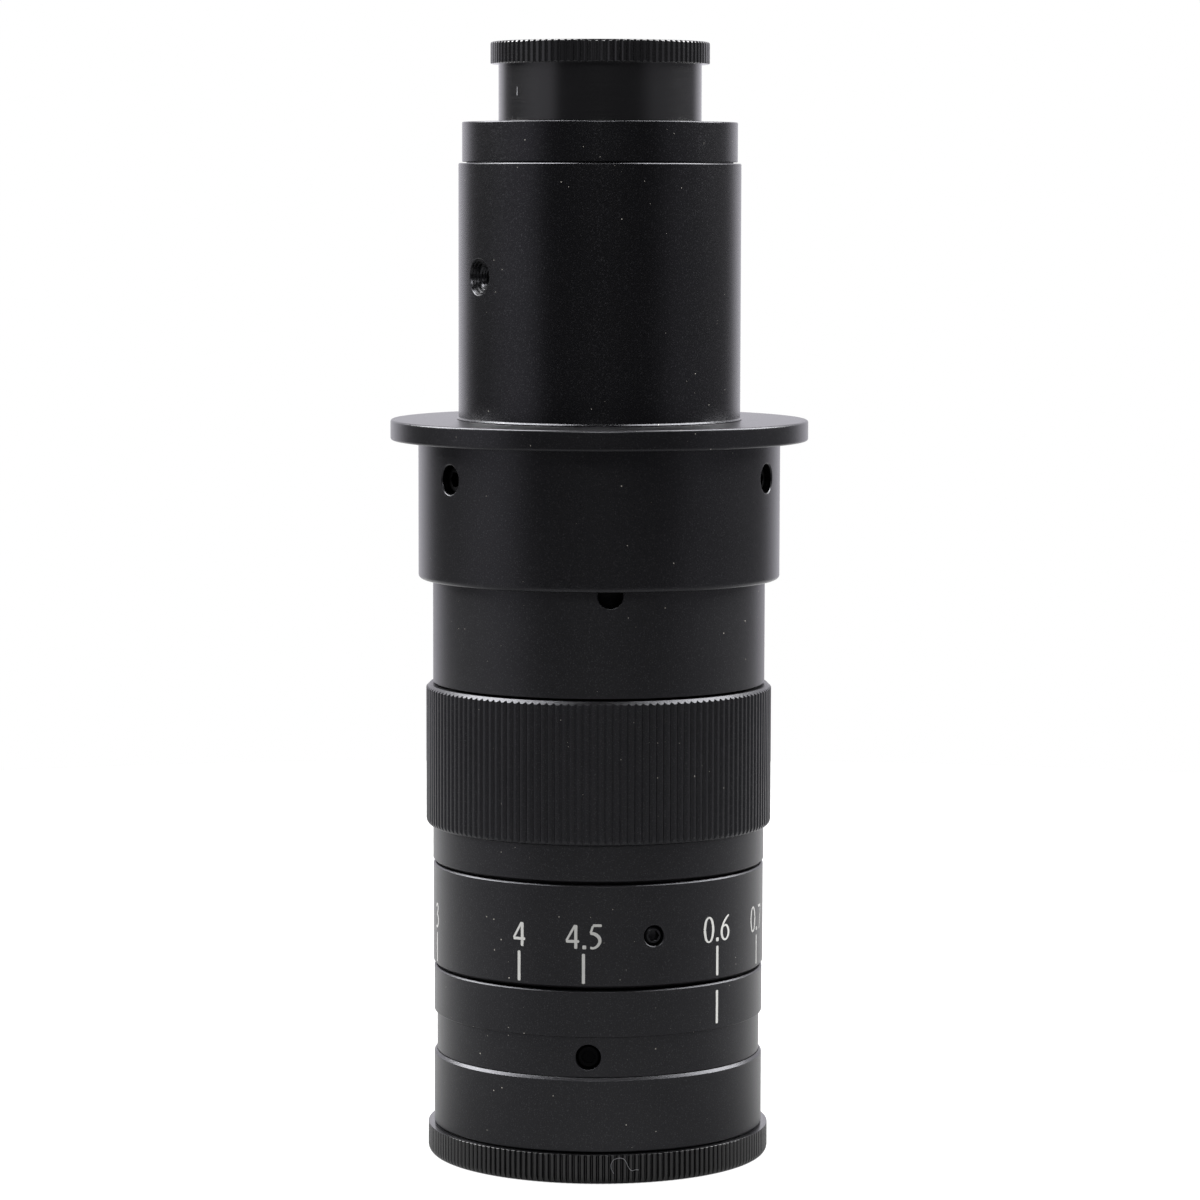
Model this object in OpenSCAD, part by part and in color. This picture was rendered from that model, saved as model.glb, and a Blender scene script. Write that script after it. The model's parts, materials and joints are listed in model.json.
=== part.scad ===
// Zoom microscope lens: a zoom body with a cam-driven variator and compensator,
// a 50 mm flanged mounting collar, a reducing camera adapter and two knurled dust caps.
// Millimetres. The optical axis is Z, the lens stands on its front cap, and the
// engraved scale and its index face -Y. A bearing is an angle round the axis,
// 0 at the front (-Y) and growing towards +X.

/* [Front dust cap] */
// How far the knurled brim stands out past the barrel
front_cap_overhang = 0.85; // [0.5:0.05:3]
// Height of the knurled brim
front_cap_h = 4.1; // [3:0.1:8]
// Number of knurl teeth
front_cap_teeth = 180; // [90:2:200]
// Depth of the knurl
front_cap_knurl = 0.25; // [0.15:0.05:0.4]
// Share of each tooth that is land
front_cap_land = 0.6; // [0.2:0.05:0.8]
// Thickness of the cap's floor
front_cap_floor = 1.6; // [1:0.1:2.5]
// Length of the threaded plug above the brim
front_plug_l = 3.2; // [2:0.1:4.5]
// Wall of the threaded plug
front_plug_wall = 1.5; // [1:0.1:2.5]

/* [Objective barrel] */
// Wall round the hub of the guide tube
barrel_wall = 1.47; // [1:0.01:3]
// Length, from the front cap to the index ring
barrel_l = 10.4; // [9:0.1:16]
// Wall round the front thread for an auxiliary lens
front_thread_wall = 2.25; // [1.5:0.05:4]
// Length of the front thread
front_thread_l = 5.1; // [4.8:0.1:7]
// Height of the sloped shoulder at the top
barrel_slope_h = 0.5; // [0.4:0.1:2]

/* [Index ring] */
// Wall of the ring that carries the index line
index_wall = 1.47; // [1.2:0.01:3]
// Height of the ring that carries the index line
index_l = 6.4; // [4:0.1:10]
// How far the neck below it stands back
index_step = 0.4; // [0.1:0.05:0.6]
// Height of the neck
index_neck_l = 5.5; // [5:0.1:9]
// Diameter of the clamp screws and their holes in the neck
index_screw_d = 3.4; // [2.5:0.1:4]
// Bearing of the clamp screw seen from the front
index_screw_bearing = -3.3; // [-60:0.1:60]

/* [Zoom ring] */
// How far the knurl stands out past the plain band
grip_rise = 0.95; // [0.6:0.05:2]
// Height of the knurled band, end chamfers included
grip_knurl_l = 19.6; // [12:0.1:24]
// Number of knurl teeth on the grip
grip_teeth = 148; // [90:2:180]
// Depth of the grip's knurl
grip_knurl = 0.35; // [0.2:0.05:0.5]
// Share of each tooth of the grip that is land
grip_land = 0.35; // [0.2:0.05:0.8]
// Height of the plain band under the knurl
grip_plain_l = 5; // [3:0.1:8]
// How far the plain band stands out past the sleeve
grip_plain_rise = 1.64; // [1.2:0.01:3]
// Wall of the sleeve that carries the scale ring
grip_sleeve_wall = 1.3; // [1.1:0.05:1.4]
// Wall of the scale ring
scale_wall = 1.57; // [1.2:0.01:3]
// Height of the scale ring
scale_l = 14.1; // [12:0.1:20]
// Diameter of the scale ring's clamp screws
scale_screw_d = 2.8; // [2:0.1:3.2]
// Bearing of the clamp screw seen from the front
scale_screw_bearing = 19.3; // [-60:0.1:60]
// Gap between a turning ring and a fixed one
seam = 0.3; // [0.2:0.05:0.5]

/* [Zoom mechanism] */
// Turn of the zoom ring from its lowest to its highest mark, in degrees
zoom_turn = 310; // [240:5:316]
// Wall of the two sliding lens cells
cell_wall = 2.96; // [2.4:0.01:5]
// Wall of the fixed guide tube
guide_wall = 2; // [1.5:0.1:2.1]
// Wall of the turning cam tube
cam_wall = 2; // [1.4:0.1:2.1]
// Radial gap of a running fit
slip = 0.04; // [0.02:0.01:0.08]
// Radial gap between pieces that are fixed together
seat = 0.02; // [0.01:0.01:0.05]
// Diameter of the cam followers
follower_d = 3; // [2:0.1:3.6]
// Travel of the variator
variator_travel = 24; // [16:0.5:25]
// Travel of the compensator
compensator_travel = 8; // [4:0.5:9]
// Height of the stop slot above the foot of the cam tube
stop_height = 3.4; // [2:0.1:5]
// Depth of the drive screws below the top of the scale ring
drive_drop = 3; // [2:0.1:4]
// Diameter of the drive screws
drive_screw_d = 2.5; // [2:0.1:3]
// Height of the compensator's follower above the drive screws, at the lowest mark
drive_gap = 5.3; // [4:0.1:8]
// Gap between the two sliding cells at the lowest mark
cell_gap = 3.7; // [1:0.1:6]
// Bearing of the variator's follower, and of the assembly hole in the body tube
variator_bearing = 3.9; // [-30:0.1:30]
// Bearing of the compensator's follower
compensator_bearing = 184; // [150:1:210]
// Diameter of the pin that stops the zoom ring at both ends
stop_pin_d = 2; // [1.5:0.1:2.4]
// Bearing of the stop pin
stop_bearing = 150; // [90:1:210]

/* [Body tube] */
// Wall
body_wall = 2.46; // [1.6:0.01:4]
// Length, from the zoom ring to the shoulder under the flange
body_l = 33.5; // [32:0.1:44]
// Gap round the cam tube
body_gap = 0.5; // [0.3:0.05:0.7]
// Diameter of the assembly hole in the wall
body_hole_d = 3.5; // [2.5:0.1:4]
// Height of the assembly hole above the foot of the tube
body_hole_z = 13.9; // [8:0.1:20]
// Wall of the neck that carries the adapter
neck_wall = 2.7; // [1.5:0.1:4]

/* [Mounting collar] */
// Wall round the body tube: it brings the collar to the 50 mm of the stand's ring
collar_wall = 2; // [1.6:0.1:4]
// Height of the collar below the flange
collar_l = 19.1; // [14:0.1:24]
// How far the flange stands out past the collar
flange_overhang = 3.85; // [2:0.05:8]
// Thickness of the flange
flange_t = 2.8; // [2:0.1:5]
// Diameter of the clamp screws
collar_screw_d = 4; // [3:0.1:4.4]
// Distance of the clamp screws below the flange
collar_screw_drop = 4.7; // [3:0.1:8]
// Bearing of the clamp screw on the left of the index
collar_screw_bearing = -54; // [-60:0.1:0]

/* [Camera adapter] */
// Wall round the reducer's tube
adapter_wall = 2.45; // [1.5:0.05:4]
// Wall round the neck of the body tube
adapter_foot_wall = 1.45; // [1:0.05:4]
// Length of the adapter tube
adapter_l = 35.2; // [33:0.1:46]
// Diameter of the clamp screw
adapter_screw_d = 3; // [2.5:0.1:4]
// Diameter of the countersink round the clamp screw
adapter_sink_d = 5; // [4.4:0.1:6]
// Height of the clamp screw above the flange
adapter_screw_z = 19.8; // [19.2:0.1:22]
// Bearing of the clamp screw
adapter_screw_bearing = -57.6; // [-80:0.1:80]
// How far the marked ring at the top stands back from the tube
mount_ring_step = 0.5; // [0.1:0.1:2]
// Height of the marked ring
mount_ring_h = 5.6; // [4:0.1:9]
// Wall of the reducer's tube inside the adapter
reducer_wall = 2.98; // [2.6:0.01:5]
// Gap between the neck of the body tube and the reducer's tube
reducer_gap = 3; // [1:0.1:6]
// Diameter of the camera thread
camera_thread_d = 25.4; // [25:0.1:25.6]
// Length of the camera thread
camera_thread_l = 4; // [3:0.1:6]
// Wall inside the camera thread
camera_wall = 1.7; // [1.2:0.1:3]

/* [Camera dust cap] */
// How far the knurled brim stands out past the skirt
camera_cap_overhang = 1.1; // [0.6:0.05:3]
// Height of the knurled brim
camera_cap_h = 3; // [2.4:0.1:5]
// Wall of the plain skirt
camera_skirt_wall = 1.25; // [0.9:0.05:3]
// Height of the plain skirt
camera_skirt_l = 7.9; // [6.5:0.1:12]
// Thickness of the top
camera_cap_top = 1.6; // [1:0.1:2.2]
// Number of knurl teeth
camera_cap_teeth = 100; // [60:2:130]
// Depth of the knurl
camera_cap_knurl = 0.35; // [0.2:0.05:0.45]
// Share of each tooth that is land
camera_cap_land = 0.4; // [0.2:0.05:0.8]

/* [Lenses] */
// Wall of the hub round the objective cell
hub_wall = 2.36; // [1.5:0.01:4]
// Wall of the objective cell
objective_cell_wall = 2.5; // [2:0.1:4]
// Diameter of the lenses in the two sliding cells
sliding_lens_d = 26; // [22:0.1:30]
// Diameter of the rear lens
rear_lens_d = 26; // [22:0.1:30]
// Wall of the rear cell
rear_cell_wall = 2.3; // [2:0.1:4]
// Diameter of the reducing lens
reducer_lens_d = 28; // [23:0.1:32]
// Width of the lip that each lens rests on
lens_lip = 1.2; // [0.8:0.1:1.6]
// Thickness of the lip
lens_lip_t = 2; // [1.6:0.1:2.4]
// Thickness of each retaining ring
retainer_t = 1.5; // [1:0.1:2]
// Radial width of each retaining ring
retainer_w = 1.6; // [1.2:0.1:2.2]

/* [Hidden] */
$fn = 96;

// Finishes
anodised = [0.07, 0.07, 0.075];
inner_black = [0.12, 0.12, 0.125];
moulded = [0.05, 0.05, 0.055];
blued_steel = [0.16, 0.16, 0.18];
brass = [0.75, 0.6, 0.3];
glass = [0.6, 0.75, 0.8, 0.4];

// Small working sizes that every piece shares
chamfer = 0.3;          // broken edge of a turned ring
edge_round = 0.8;       // bolder edge of the collar and the knurled band
bolt_count = 3;         // clamp screws stand three to a ring
bolt_step = 360 / bolt_count;
recess = 0.5;           // how far a clamp screw sits below its surface
socket_width = 0.5;     // width of a clamp screw's socket, as a share of the screw
socket_floor = 0.4;     // height of the socket's floor, as a share of the screw's length
groove_depth = 0.5;     // turned groove that clamp screws bite into
groove_margin = 0.4;    // groove height beyond the screw
cut = 1;                // how far a cutter runs past what it cuts
cement = 0.01;          // gap of a cemented lens face
sphere_fn = 240;        // facets of a polished face
rim = 0.5;              // cell wall beyond its retaining ring

// Radial stack, from the sliding lenses outwards
cell_d = sliding_lens_d + 2 * cell_wall;
cell_bore_d = cell_d + 2 * slip;
guide_d = cell_bore_d + 2 * guide_wall;
cam_bore_d = guide_d + 2 * slip;
cam_d = cam_bore_d + 2 * cam_wall;
sleeve_bore_d = cam_d + 2 * seat;
sleeve_d = sleeve_bore_d + 2 * grip_sleeve_wall;
hub_d = sleeve_d;                       // front hub of the guide tube
ring_bore_d = sleeve_d + 2 * seat;      // bore of the rings on the sleeve and the hub
scale_d = ring_bore_d + 2 * scale_wall;
grip_plain_d = sleeve_d + 2 * grip_plain_rise;
grip_d = grip_plain_d + 2 * grip_rise;
index_d = ring_bore_d + 2 * index_wall;
index_neck_d = index_d - 2 * index_step;
barrel_d = ring_bore_d + 2 * barrel_wall;
front_thread_d = barrel_d - 2 * front_thread_wall;
front_cap_d = barrel_d + 2 * front_cap_overhang;
objective_cell_d = hub_d - 2 * hub_wall;
objective_lens_d = objective_cell_d - 2 * objective_cell_wall;
body_bore_d = cam_d + 2 * body_gap;
body_d = body_bore_d + 2 * body_wall;
collar_d = body_d + 2 * collar_wall;
flange_d = collar_d + 2 * flange_overhang;

// Radial stack of the camera end, from its lenses outwards
rear_cell_d = rear_lens_d + 2 * rear_cell_wall;
neck_d = rear_cell_d + 2 * neck_wall;
reducer_d = reducer_lens_d + 2 * reducer_wall;
adapter_bore_d = reducer_d + 2 * seat;
adapter_d = max(adapter_bore_d + 2 * adapter_wall, neck_d + 2 * adapter_foot_wall);
mount_ring_d = adapter_d - 2 * mount_ring_step;
camera_bore_d = camera_thread_d - 2 * camera_wall;
camera_skirt_d = camera_thread_d + 2 * camera_skirt_wall;
camera_cap_d = camera_skirt_d + 2 * camera_cap_overhang;

// Stack along the axis, from the front cap up
z_barrel = front_cap_h;
z_hub = z_barrel + front_thread_l;
z_index = z_barrel + barrel_l;
z_index_step = z_index + index_neck_l;
z_hub_top = z_index_step + index_l;
z_scale = z_hub_top + seam;
z_grip = z_scale + scale_l + seam;
z_knurl = z_grip + grip_plain_l;
z_grip_top = z_knurl + grip_knurl_l;
z_body = z_grip_top + seam;
z_shoulder = z_body + body_l;
z_adapter = z_shoulder + flange_t;
z_mount_ring = z_adapter + adapter_l;
z_camera_face = z_mount_ring + mount_ring_h;
z_skirt = z_camera_face + seat;
z_brim = z_skirt + camera_skirt_l;

// Seats inside the body tube
guide_seat_l = 4.8;                     // overlap of the guide tube's top in the body tube
guide_stop_t = 2.4;                     // shoulder above the guide tube
z_guide_top = z_shoulder - guide_stop_t;
z_guide_seat = z_guide_top - guide_seat_l;
z_cam_top = z_guide_seat - seam;
z_drive = z_scale + scale_l - drive_drop;   // screws that join the grip and the cam tube
z_stop = z_scale + stop_height;

// Followers and the stop pin reach from inside a cell wall or the guide tube into the cam tube
follower_seat = 0.6;                    // cell wall left behind a follower
follower_recess = 0.3;                  // how far a follower stops short of the cam tube's face
follower_root_r = sliding_lens_d / 2 + follower_seat;
follower_tip_r = cam_d / 2 - follower_recess;
slot_play = 0.16;                       // extra width of a cam slot over its follower
slot_steps = 36;                        // flats along a cam slot
slot_ends = 5;                          // flats in each quarter of its round ends
driver_slot = [0.5, 0.7];               // width and depth of the slot in a follower's end
drive_bearing = 60;
drive_root_gap = 0.4;                   // from the guide tube to the inner end of a drive screw
drive_recess = 0.1;                     // how far a drive screw sits below the sleeve
drive_root_r = guide_d / 2 + drive_root_gap;

// Height of a spherical face of radius r at distance h from the axis
function sag(r, h) = r == 0 ? 0 : abs(r) - sqrt(r * r - h * h);

// A lens group is [lens_d, front radius, cemented radius, first thickness, second thickness].
// A positive radius bulges out of the first element, and a negative one is hollow.
objective = [objective_lens_d, 60, 52, 6.6, 2.2];
compensator = [sliding_lens_d, 42, 45, 5.8, 2];
variator = [sliding_lens_d, -36, -40, 1.8, 4];
rear = [rear_lens_d, 48, 44, 5.4, 2];
reducer = [reducer_lens_d, 50, 50, 5.6, 2];

// Groove for the adapter's clamp screw, and the countersink round it
reducer_groove_share = 0.65;            // of the wall
reducer_groove_r = reducer_d / 2 - reducer_groove_share * reducer_wall;
sink_depth = (adapter_sink_d - adapter_screw_d) / 2;

// Heights inside a group, counted from the foot of its lip
function aperture_d(g) = g[0] - 2 * lens_lip;
function front_z(g) = lens_lip_t + seat
    + (g[1] > 0 ? -sag(g[1], aperture_d(g) / 2) : sag(g[1], g[0] / 2));
function joint_z(g) = front_z(g) + g[3];
function back_z(g) = joint_z(g) + g[4];
function group_l(g) = back_z(g) + seat + retainer_t + rim;

// Outline of a ring from ri to ro, with chamfers on its outer edges
function ring_outline(ri, ro, z0, z1, low, high) = concat(
    [[ri, z0]],
    low > 0 ? [[ro - low, z0], [ro, z0 + low]] : [[ro, z0]],
    high > 0 ? [[ro, z1 - high], [ro - high, z1]] : [[ro, z1]],
    [[ri, z1]]
);

module turned(outline) {
    rotate_extrude() polygon(outline);
}

module ring(d_in, d_out, z0, z1, low = 0, high = 0) {
    turned(ring_outline(d_in / 2, d_out / 2, z0, z1, low, high));
}

module bore(d, z0, z1) {
    translate([0, 0, z0]) cylinder(d = d, h = z1 - z0);
}

// Places a piece drawn along +Z so that it points outwards at a bearing
module radial(bearing, r, z) {
    rotate([0, 0, bearing]) translate([0, -r, z]) rotate([90, 0, 0]) children();
}

module radial_ring(bearing, r, z) {
    for (i = [0 : bolt_count - 1]) radial(bearing + i * bolt_step, r, z) children();
}

// Clamp screw without a head, with a hexagon socket in its outer end
module clamp_screw(d, l) {
    difference() {
        cylinder(d = d - 2 * seat, h = l);
        translate([0, 0, l * socket_floor]) cylinder(d = d * socket_width / cos(30), h = l, $fn = 6);
    }
}

// Points round a straight knurl: a land on each tooth and a V between teeth
function knurl_outline(d, teeth, depth, land) = [
    for (i = [0 : teeth - 1], k = [0 : 2])
        let (a = (i + [0, land, (1 + land) / 2][k]) * 360 / teeth,
             r = d / 2 - (k == 2 ? depth : 0))
        [r * cos(a), r * sin(a)]
];

// Knurled disc whose ends are chamfered as on a lathe
module knurled(d, teeth, depth, land, z0, z1, low, high) {
    over = d / 2 + cut;
    intersection() {
        translate([0, 0, z0]) linear_extrude(z1 - z0) polygon(knurl_outline(d, teeth, depth, land));
        turned([
            [0, z0], [d / 2 - low, z0], [over, z0 + low + cut],
            [over, z1 - high - cut], [d / 2 - high, z1], [0, z1]
        ]);
    }
}

// Outline of a straight slot with round ends, from y0 to y1
function slot_outline(w, y0, y1, steps = 12) = concat(
    [for (i = [0 : steps]) let (a = i * 180 / steps) [w / 2 * cos(a), y1 + w / 2 * sin(a)]],
    [for (i = [0 : steps]) let (a = 180 + i * 180 / steps) [w / 2 * cos(a), y0 + w / 2 * sin(a)]]
);

// Cutter for a slot milled round a tube: it climbs from z0 by rise over sweep degrees, and
// its ends are round. The section is a quad from r0 to r1 with parallel sides, carried along
// the stations. It is taller on a slope, so that w is the width across the slot.
module cam_slot(r0, r1, w, start, sweep, z0, rise) {
    half_w = w / 2 / cos(90 / slot_ends);
    half_h = w / 2 * sqrt(1 + pow(rise / (sweep * PI / 180 * r0), 2));
    // A station is [turn, distance along the tangent, share of the height]
    stations = concat(
        [for (k = [1 : slot_ends]) let (a = k * 90 / slot_ends) [0, -half_w * cos(a), sin(a)]],
        [for (i = [1 : slot_steps - 1]) [sweep * i / slot_steps, 0, 1]],
        [for (k = [slot_ends : -1 : 1]) let (a = k * 90 / slot_ends) [sweep, half_w * cos(a), sin(a)]]
    );
    points = [
        for (s = stations, c = [[r0, -1], [r0, 1], [r1, 1], [r1, -1]])
            let (a = start + s[0] - 90, z = z0 + rise * s[0] / sweep)
            [c[0] * cos(a) - s[1] * sin(a), c[0] * sin(a) + s[1] * cos(a), z + c[1] * s[2] * half_h]
    ];
    last = 4 * (len(stations) - 1);
    faces = concat(
        [[0, 1, 2], [0, 2, 3]],
        [for (i = [0 : len(stations) - 2], j = [0 : 3])
            let (p = 4 * i + j, q = 4 * i + (j + 1) % 4)
            each [[p, p + 4, q + 4], [p, q + 4, q]]],
        [[last, last + 2, last + 1], [last, last + 3, last + 2]]
    );
    polyhedron(points, faces);
}

// One lens element between axial points z0 and z1. A positive radius bulges out of the
// element, a negative one is hollow, and 0 is flat.
module element(d, z0, z1, r0, r1) {
    low = r0 < 0 ? sag(r0, d / 2) : 0;
    high = r1 < 0 ? sag(r1, d / 2) : 0;
    difference() {
        intersection() {
            bore(d, z0 - low, z1 + high);
            if (r0 > 0) translate([0, 0, z0 + r0]) sphere(r = r0, $fn = sphere_fn);
            if (r1 > 0) translate([0, 0, z1 - r1]) sphere(r = r1, $fn = sphere_fn);
        }
        if (r0 < 0) translate([0, 0, z0 + r0]) sphere(r = -r0, $fn = sphere_fn);
        if (r1 < 0) translate([0, 0, z1 - r1]) sphere(r = -r1, $fn = sphere_fn);
    }
}

module first_element(g) {
    color(glass) element(g[0] - 2 * seat, front_z(g), joint_z(g) - cement, g[1], g[2]);
}

module second_element(g) {
    color(glass) element(g[0] - 2 * seat, joint_z(g), back_z(g), -g[2], 0);
}

// Ring cell with a lip at its foot, a bore for the lens and a thread for the retainer
module lens_cell(g, d) {
    color(inner_black) difference() {
        ring(aperture_d(g), d, 0, group_l(g), chamfer, chamfer);
        bore(g[0], lens_lip_t, group_l(g) + cut);
    }
}

// Threaded retaining ring with two spanner notches
module retainer(g) {
    z0 = back_z(g) + seat;
    notch_w = 1.2;
    color(inner_black) difference() {
        ring(g[0] - 2 * seat - 2 * retainer_w, g[0] - 2 * seat, z0, z0 + retainer_t);
        translate([-g[0], -notch_w / 2, z0 + retainer_t / 2]) cube([2 * g[0], notch_w, retainer_t]);
    }
}

// Shoulder screw that joins a sliding cell to the two tubes, with a driver slot in its end
module follower(bearing, z) {
    l = follower_tip_r - follower_root_r;
    color(brass) radial(bearing, follower_root_r, z) difference() {
        cylinder(d = follower_d, h = l);
        translate([-follower_d, -driver_slot[0] / 2, l - driver_slot[1]])
            cube([2 * follower_d, driver_slot[0], cut]);
    }
}

module follower_hole(bearing, z) {
    radial(bearing, follower_root_r - seat, z) cylinder(d = follower_d + 2 * seat, h = cell_d);
}

// Places a group with its lip upwards and the foot of that lip at height z
module hung(z) {
    translate([0, 0, z]) mirror([0, 0, 1]) children();
}

// Places of the groups. Both followers are given at the lowest mark.
z_objective_lip = z_hub + group_l(objective);
z_compensator = z_drive + drive_gap;
z_compensator_cell = z_compensator - group_l(compensator) / 2;
z_variator_cell = z_compensator_cell + group_l(compensator) + cell_gap;
z_variator = z_variator_cell + group_l(variator) / 2;
z_neck_top = z_shoulder + group_l(rear);
z_reducer_foot = z_neck_top + reducer_gap;
z_reducer_lip = z_reducer_foot + group_l(reducer);

// Moulded cap that screws into the front thread
module front_cap() {
    plug_d = front_thread_d - 2 * slip;
    color(moulded) difference() {
        union() {
            knurled(front_cap_d, front_cap_teeth, front_cap_knurl, front_cap_land, 0, front_cap_h,
                edge_round, chamfer);
            ring(plug_d - 2 * front_plug_wall, plug_d, front_cap_h - cut,
                front_cap_h + front_plug_l, 0, chamfer);
        }
        bore(plug_d - 2 * front_plug_wall, front_cap_floor, front_cap_h + front_plug_l + cut);
    }
}

// Front barrel: it screws onto the hub of the guide tube and holds the front thread
module objective_barrel() {
    r = barrel_d / 2;
    slope = (barrel_d - index_neck_d) / 2;
    z0 = z_barrel + seat;
    z1 = z_index - seat;
    color(anodised) difference() {
        turned([
            [front_thread_d / 2, z0], [r - chamfer, z0], [r, z0 + chamfer],
            [r, z1 - barrel_slope_h], [r - slope, z1], [front_thread_d / 2, z1]
        ]);
        bore(ring_bore_d, z_hub - seat, z1 + cut);
    }
}

module objective_cell() {
    color(inner_black) hung(z_objective_lip) lens_cell(objective, objective_cell_d - 2 * seat);
}

module objective_crown() {
    hung(z_objective_lip) first_element(objective);
}

module objective_flint() {
    hung(z_objective_lip) second_element(objective);
}

module objective_retainer() {
    hung(z_objective_lip) retainer(objective);
}

// Fixed tube: front hub, straight slots for the followers and a seat at the top
module guide_tube() {
    z_step = z_objective_lip + seat;
    groove_z = (z_index + z_index_step) / 2;
    groove_h = index_screw_d / 2 + groove_margin;
    slot_w = follower_d + 2 * slip;
    color(inner_black) difference() {
        turned([
            [cell_bore_d / 2, z_hub], [hub_d / 2, z_hub],
            [hub_d / 2, groove_z - groove_h], [hub_d / 2 - groove_depth, groove_z - groove_h],
            [hub_d / 2 - groove_depth, groove_z + groove_h], [hub_d / 2, groove_z + groove_h],
            [hub_d / 2, z_hub_top], [guide_d / 2, z_hub_top],
            [guide_d / 2, z_guide_top - seat], [cell_bore_d / 2, z_guide_top - seat]
        ]);
        bore(objective_cell_d, z_hub - cut, z_step);
        radial(variator_bearing, 0, 0)
            linear_extrude(guide_d) polygon(slot_outline(slot_w, z_variator, z_variator + variator_travel));
        radial(compensator_bearing, 0, 0)
            linear_extrude(guide_d)
                polygon(slot_outline(slot_w, z_compensator, z_compensator + compensator_travel));
        radial(stop_bearing, guide_d / 2 - guide_wall / 2, z_stop)
            cylinder(d = stop_pin_d + 2 * seat, h = guide_wall);
    }
}

module stop_pin() {
    r0 = guide_d / 2 - guide_wall / 2 + seat;
    color(brass) radial(stop_bearing, r0, z_stop) cylinder(d = stop_pin_d, h = follower_tip_r - r0);
}

// Fixed ring with the index line, clamped to the hub through its neck
module index_ring() {
    r = index_d / 2;
    neck_r = index_neck_d / 2;
    color(anodised) difference() {
        turned([
            [ring_bore_d / 2, z_index + seat], [neck_r, z_index + seat],
            [neck_r, z_index_step], [r - chamfer, z_index_step], [r, z_index_step + chamfer],
            [r, z_hub_top - chamfer / 2], [r - chamfer / 2, z_hub_top],
            [ring_bore_d / 2, z_hub_top]
        ]);
        radial_ring(index_screw_bearing, hub_d / 2 - cut, (z_index + z_index_step) / 2)
            cylinder(d = index_screw_d, h = index_d);
    }
}

module index_clamp_screws() {
    r0 = hub_d / 2 - groove_depth + seat;
    color(blued_steel)
        radial_ring(index_screw_bearing, r0, (z_index + z_index_step) / 2)
            clamp_screw(index_screw_d, index_neck_d / 2 - recess - r0);
}

// Turning tube with the two cam slots, the stop slot and the holes of the drive screws
module cam_tube() {
    r0 = guide_d / 2 - cut;
    r1 = cam_d / 2 + cut;
    slot_w = follower_d + slot_play;
    stop_w = stop_pin_d + slot_play;
    color(inner_black) difference() {
        ring(cam_bore_d, cam_d, z_scale, z_cam_top);
        cam_slot(r0, r1, slot_w, variator_bearing, zoom_turn, z_variator, variator_travel);
        cam_slot(r0, r1, slot_w, compensator_bearing, zoom_turn, z_compensator, compensator_travel);
        cam_slot(r0, r1, stop_w, stop_bearing, zoom_turn, z_stop, 0);
        radial_ring(drive_bearing, r0, z_drive) cylinder(d = drive_screw_d + 2 * seat, h = cam_d);
    }
}

// Knurled grip in one piece with its plain band and the sleeve under the scale ring
module zoom_grip() {
    plain_r = grip_plain_d / 2;
    sleeve_r = sleeve_d / 2;
    top_chamfer = (grip_d - grip_plain_d) / 2;
    groove_z = z_scale + scale_l / 2;
    groove_h = scale_screw_d / 2 + groove_margin;
    color(anodised) difference() {
        union() {
            knurled(grip_d, grip_teeth, grip_knurl, grip_land, z_knurl, z_grip_top,
                chamfer + grip_knurl, top_chamfer);
            turned([
                [0, z_scale], [sleeve_r, z_scale],
                [sleeve_r, groove_z - groove_h], [sleeve_r - groove_depth, groove_z - groove_h],
                [sleeve_r - groove_depth, groove_z + groove_h], [sleeve_r, groove_z + groove_h],
                [sleeve_r, z_grip], [plain_r - chamfer / 2, z_grip], [plain_r, z_grip + chamfer / 2],
                [plain_r, z_knurl + cut], [0, z_knurl + cut]
            ]);
        }
        bore(sleeve_bore_d, z_scale - cut, z_grip_top + cut);
        radial_ring(drive_bearing, cam_d / 2 - cut, z_drive)
            cylinder(d = drive_screw_d + 2 * seat, h = grip_d);
    }
}

// Screws that carry the turn of the grip into the cam tube, hidden by the scale ring
module cam_drive_screws() {
    color(blued_steel) radial_ring(drive_bearing, drive_root_r, z_drive)
        clamp_screw(drive_screw_d + 2 * seat, sleeve_d / 2 - drive_recess - drive_root_r);
}

module scale_ring() {
    color(anodised) difference() {
        ring(ring_bore_d, scale_d, z_scale, z_scale + scale_l, chamfer / 2, chamfer / 2);
        radial_ring(scale_screw_bearing, sleeve_d / 2 - cut, z_scale + scale_l / 2)
            cylinder(d = scale_screw_d, h = scale_d);
    }
}

module scale_clamp_screws() {
    r0 = sleeve_d / 2 - groove_depth + seat;
    color(blued_steel)
        radial_ring(scale_screw_bearing, r0, z_scale + scale_l / 2)
            clamp_screw(scale_screw_d, scale_d / 2 - recess / 2 - r0);
}

module compensator_cell() {
    color(inner_black) difference() {
        translate([0, 0, z_compensator_cell]) lens_cell(compensator, cell_d);
        follower_hole(compensator_bearing, z_compensator);
    }
}

module compensator_crown() {
    translate([0, 0, z_compensator_cell]) first_element(compensator);
}

module compensator_flint() {
    translate([0, 0, z_compensator_cell]) second_element(compensator);
}

module compensator_retainer() {
    translate([0, 0, z_compensator_cell]) retainer(compensator);
}

module compensator_follower() {
    follower(compensator_bearing, z_compensator);
}

module variator_cell() {
    color(inner_black) difference() {
        translate([0, 0, z_variator_cell]) lens_cell(variator, cell_d);
        follower_hole(variator_bearing, z_variator);
    }
}

module variator_flint() {
    translate([0, 0, z_variator_cell]) first_element(variator);
}

module variator_crown() {
    translate([0, 0, z_variator_cell]) second_element(variator);
}

module variator_retainer() {
    translate([0, 0, z_variator_cell]) retainer(variator);
}

module variator_follower() {
    follower(variator_bearing, z_variator);
}

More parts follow.
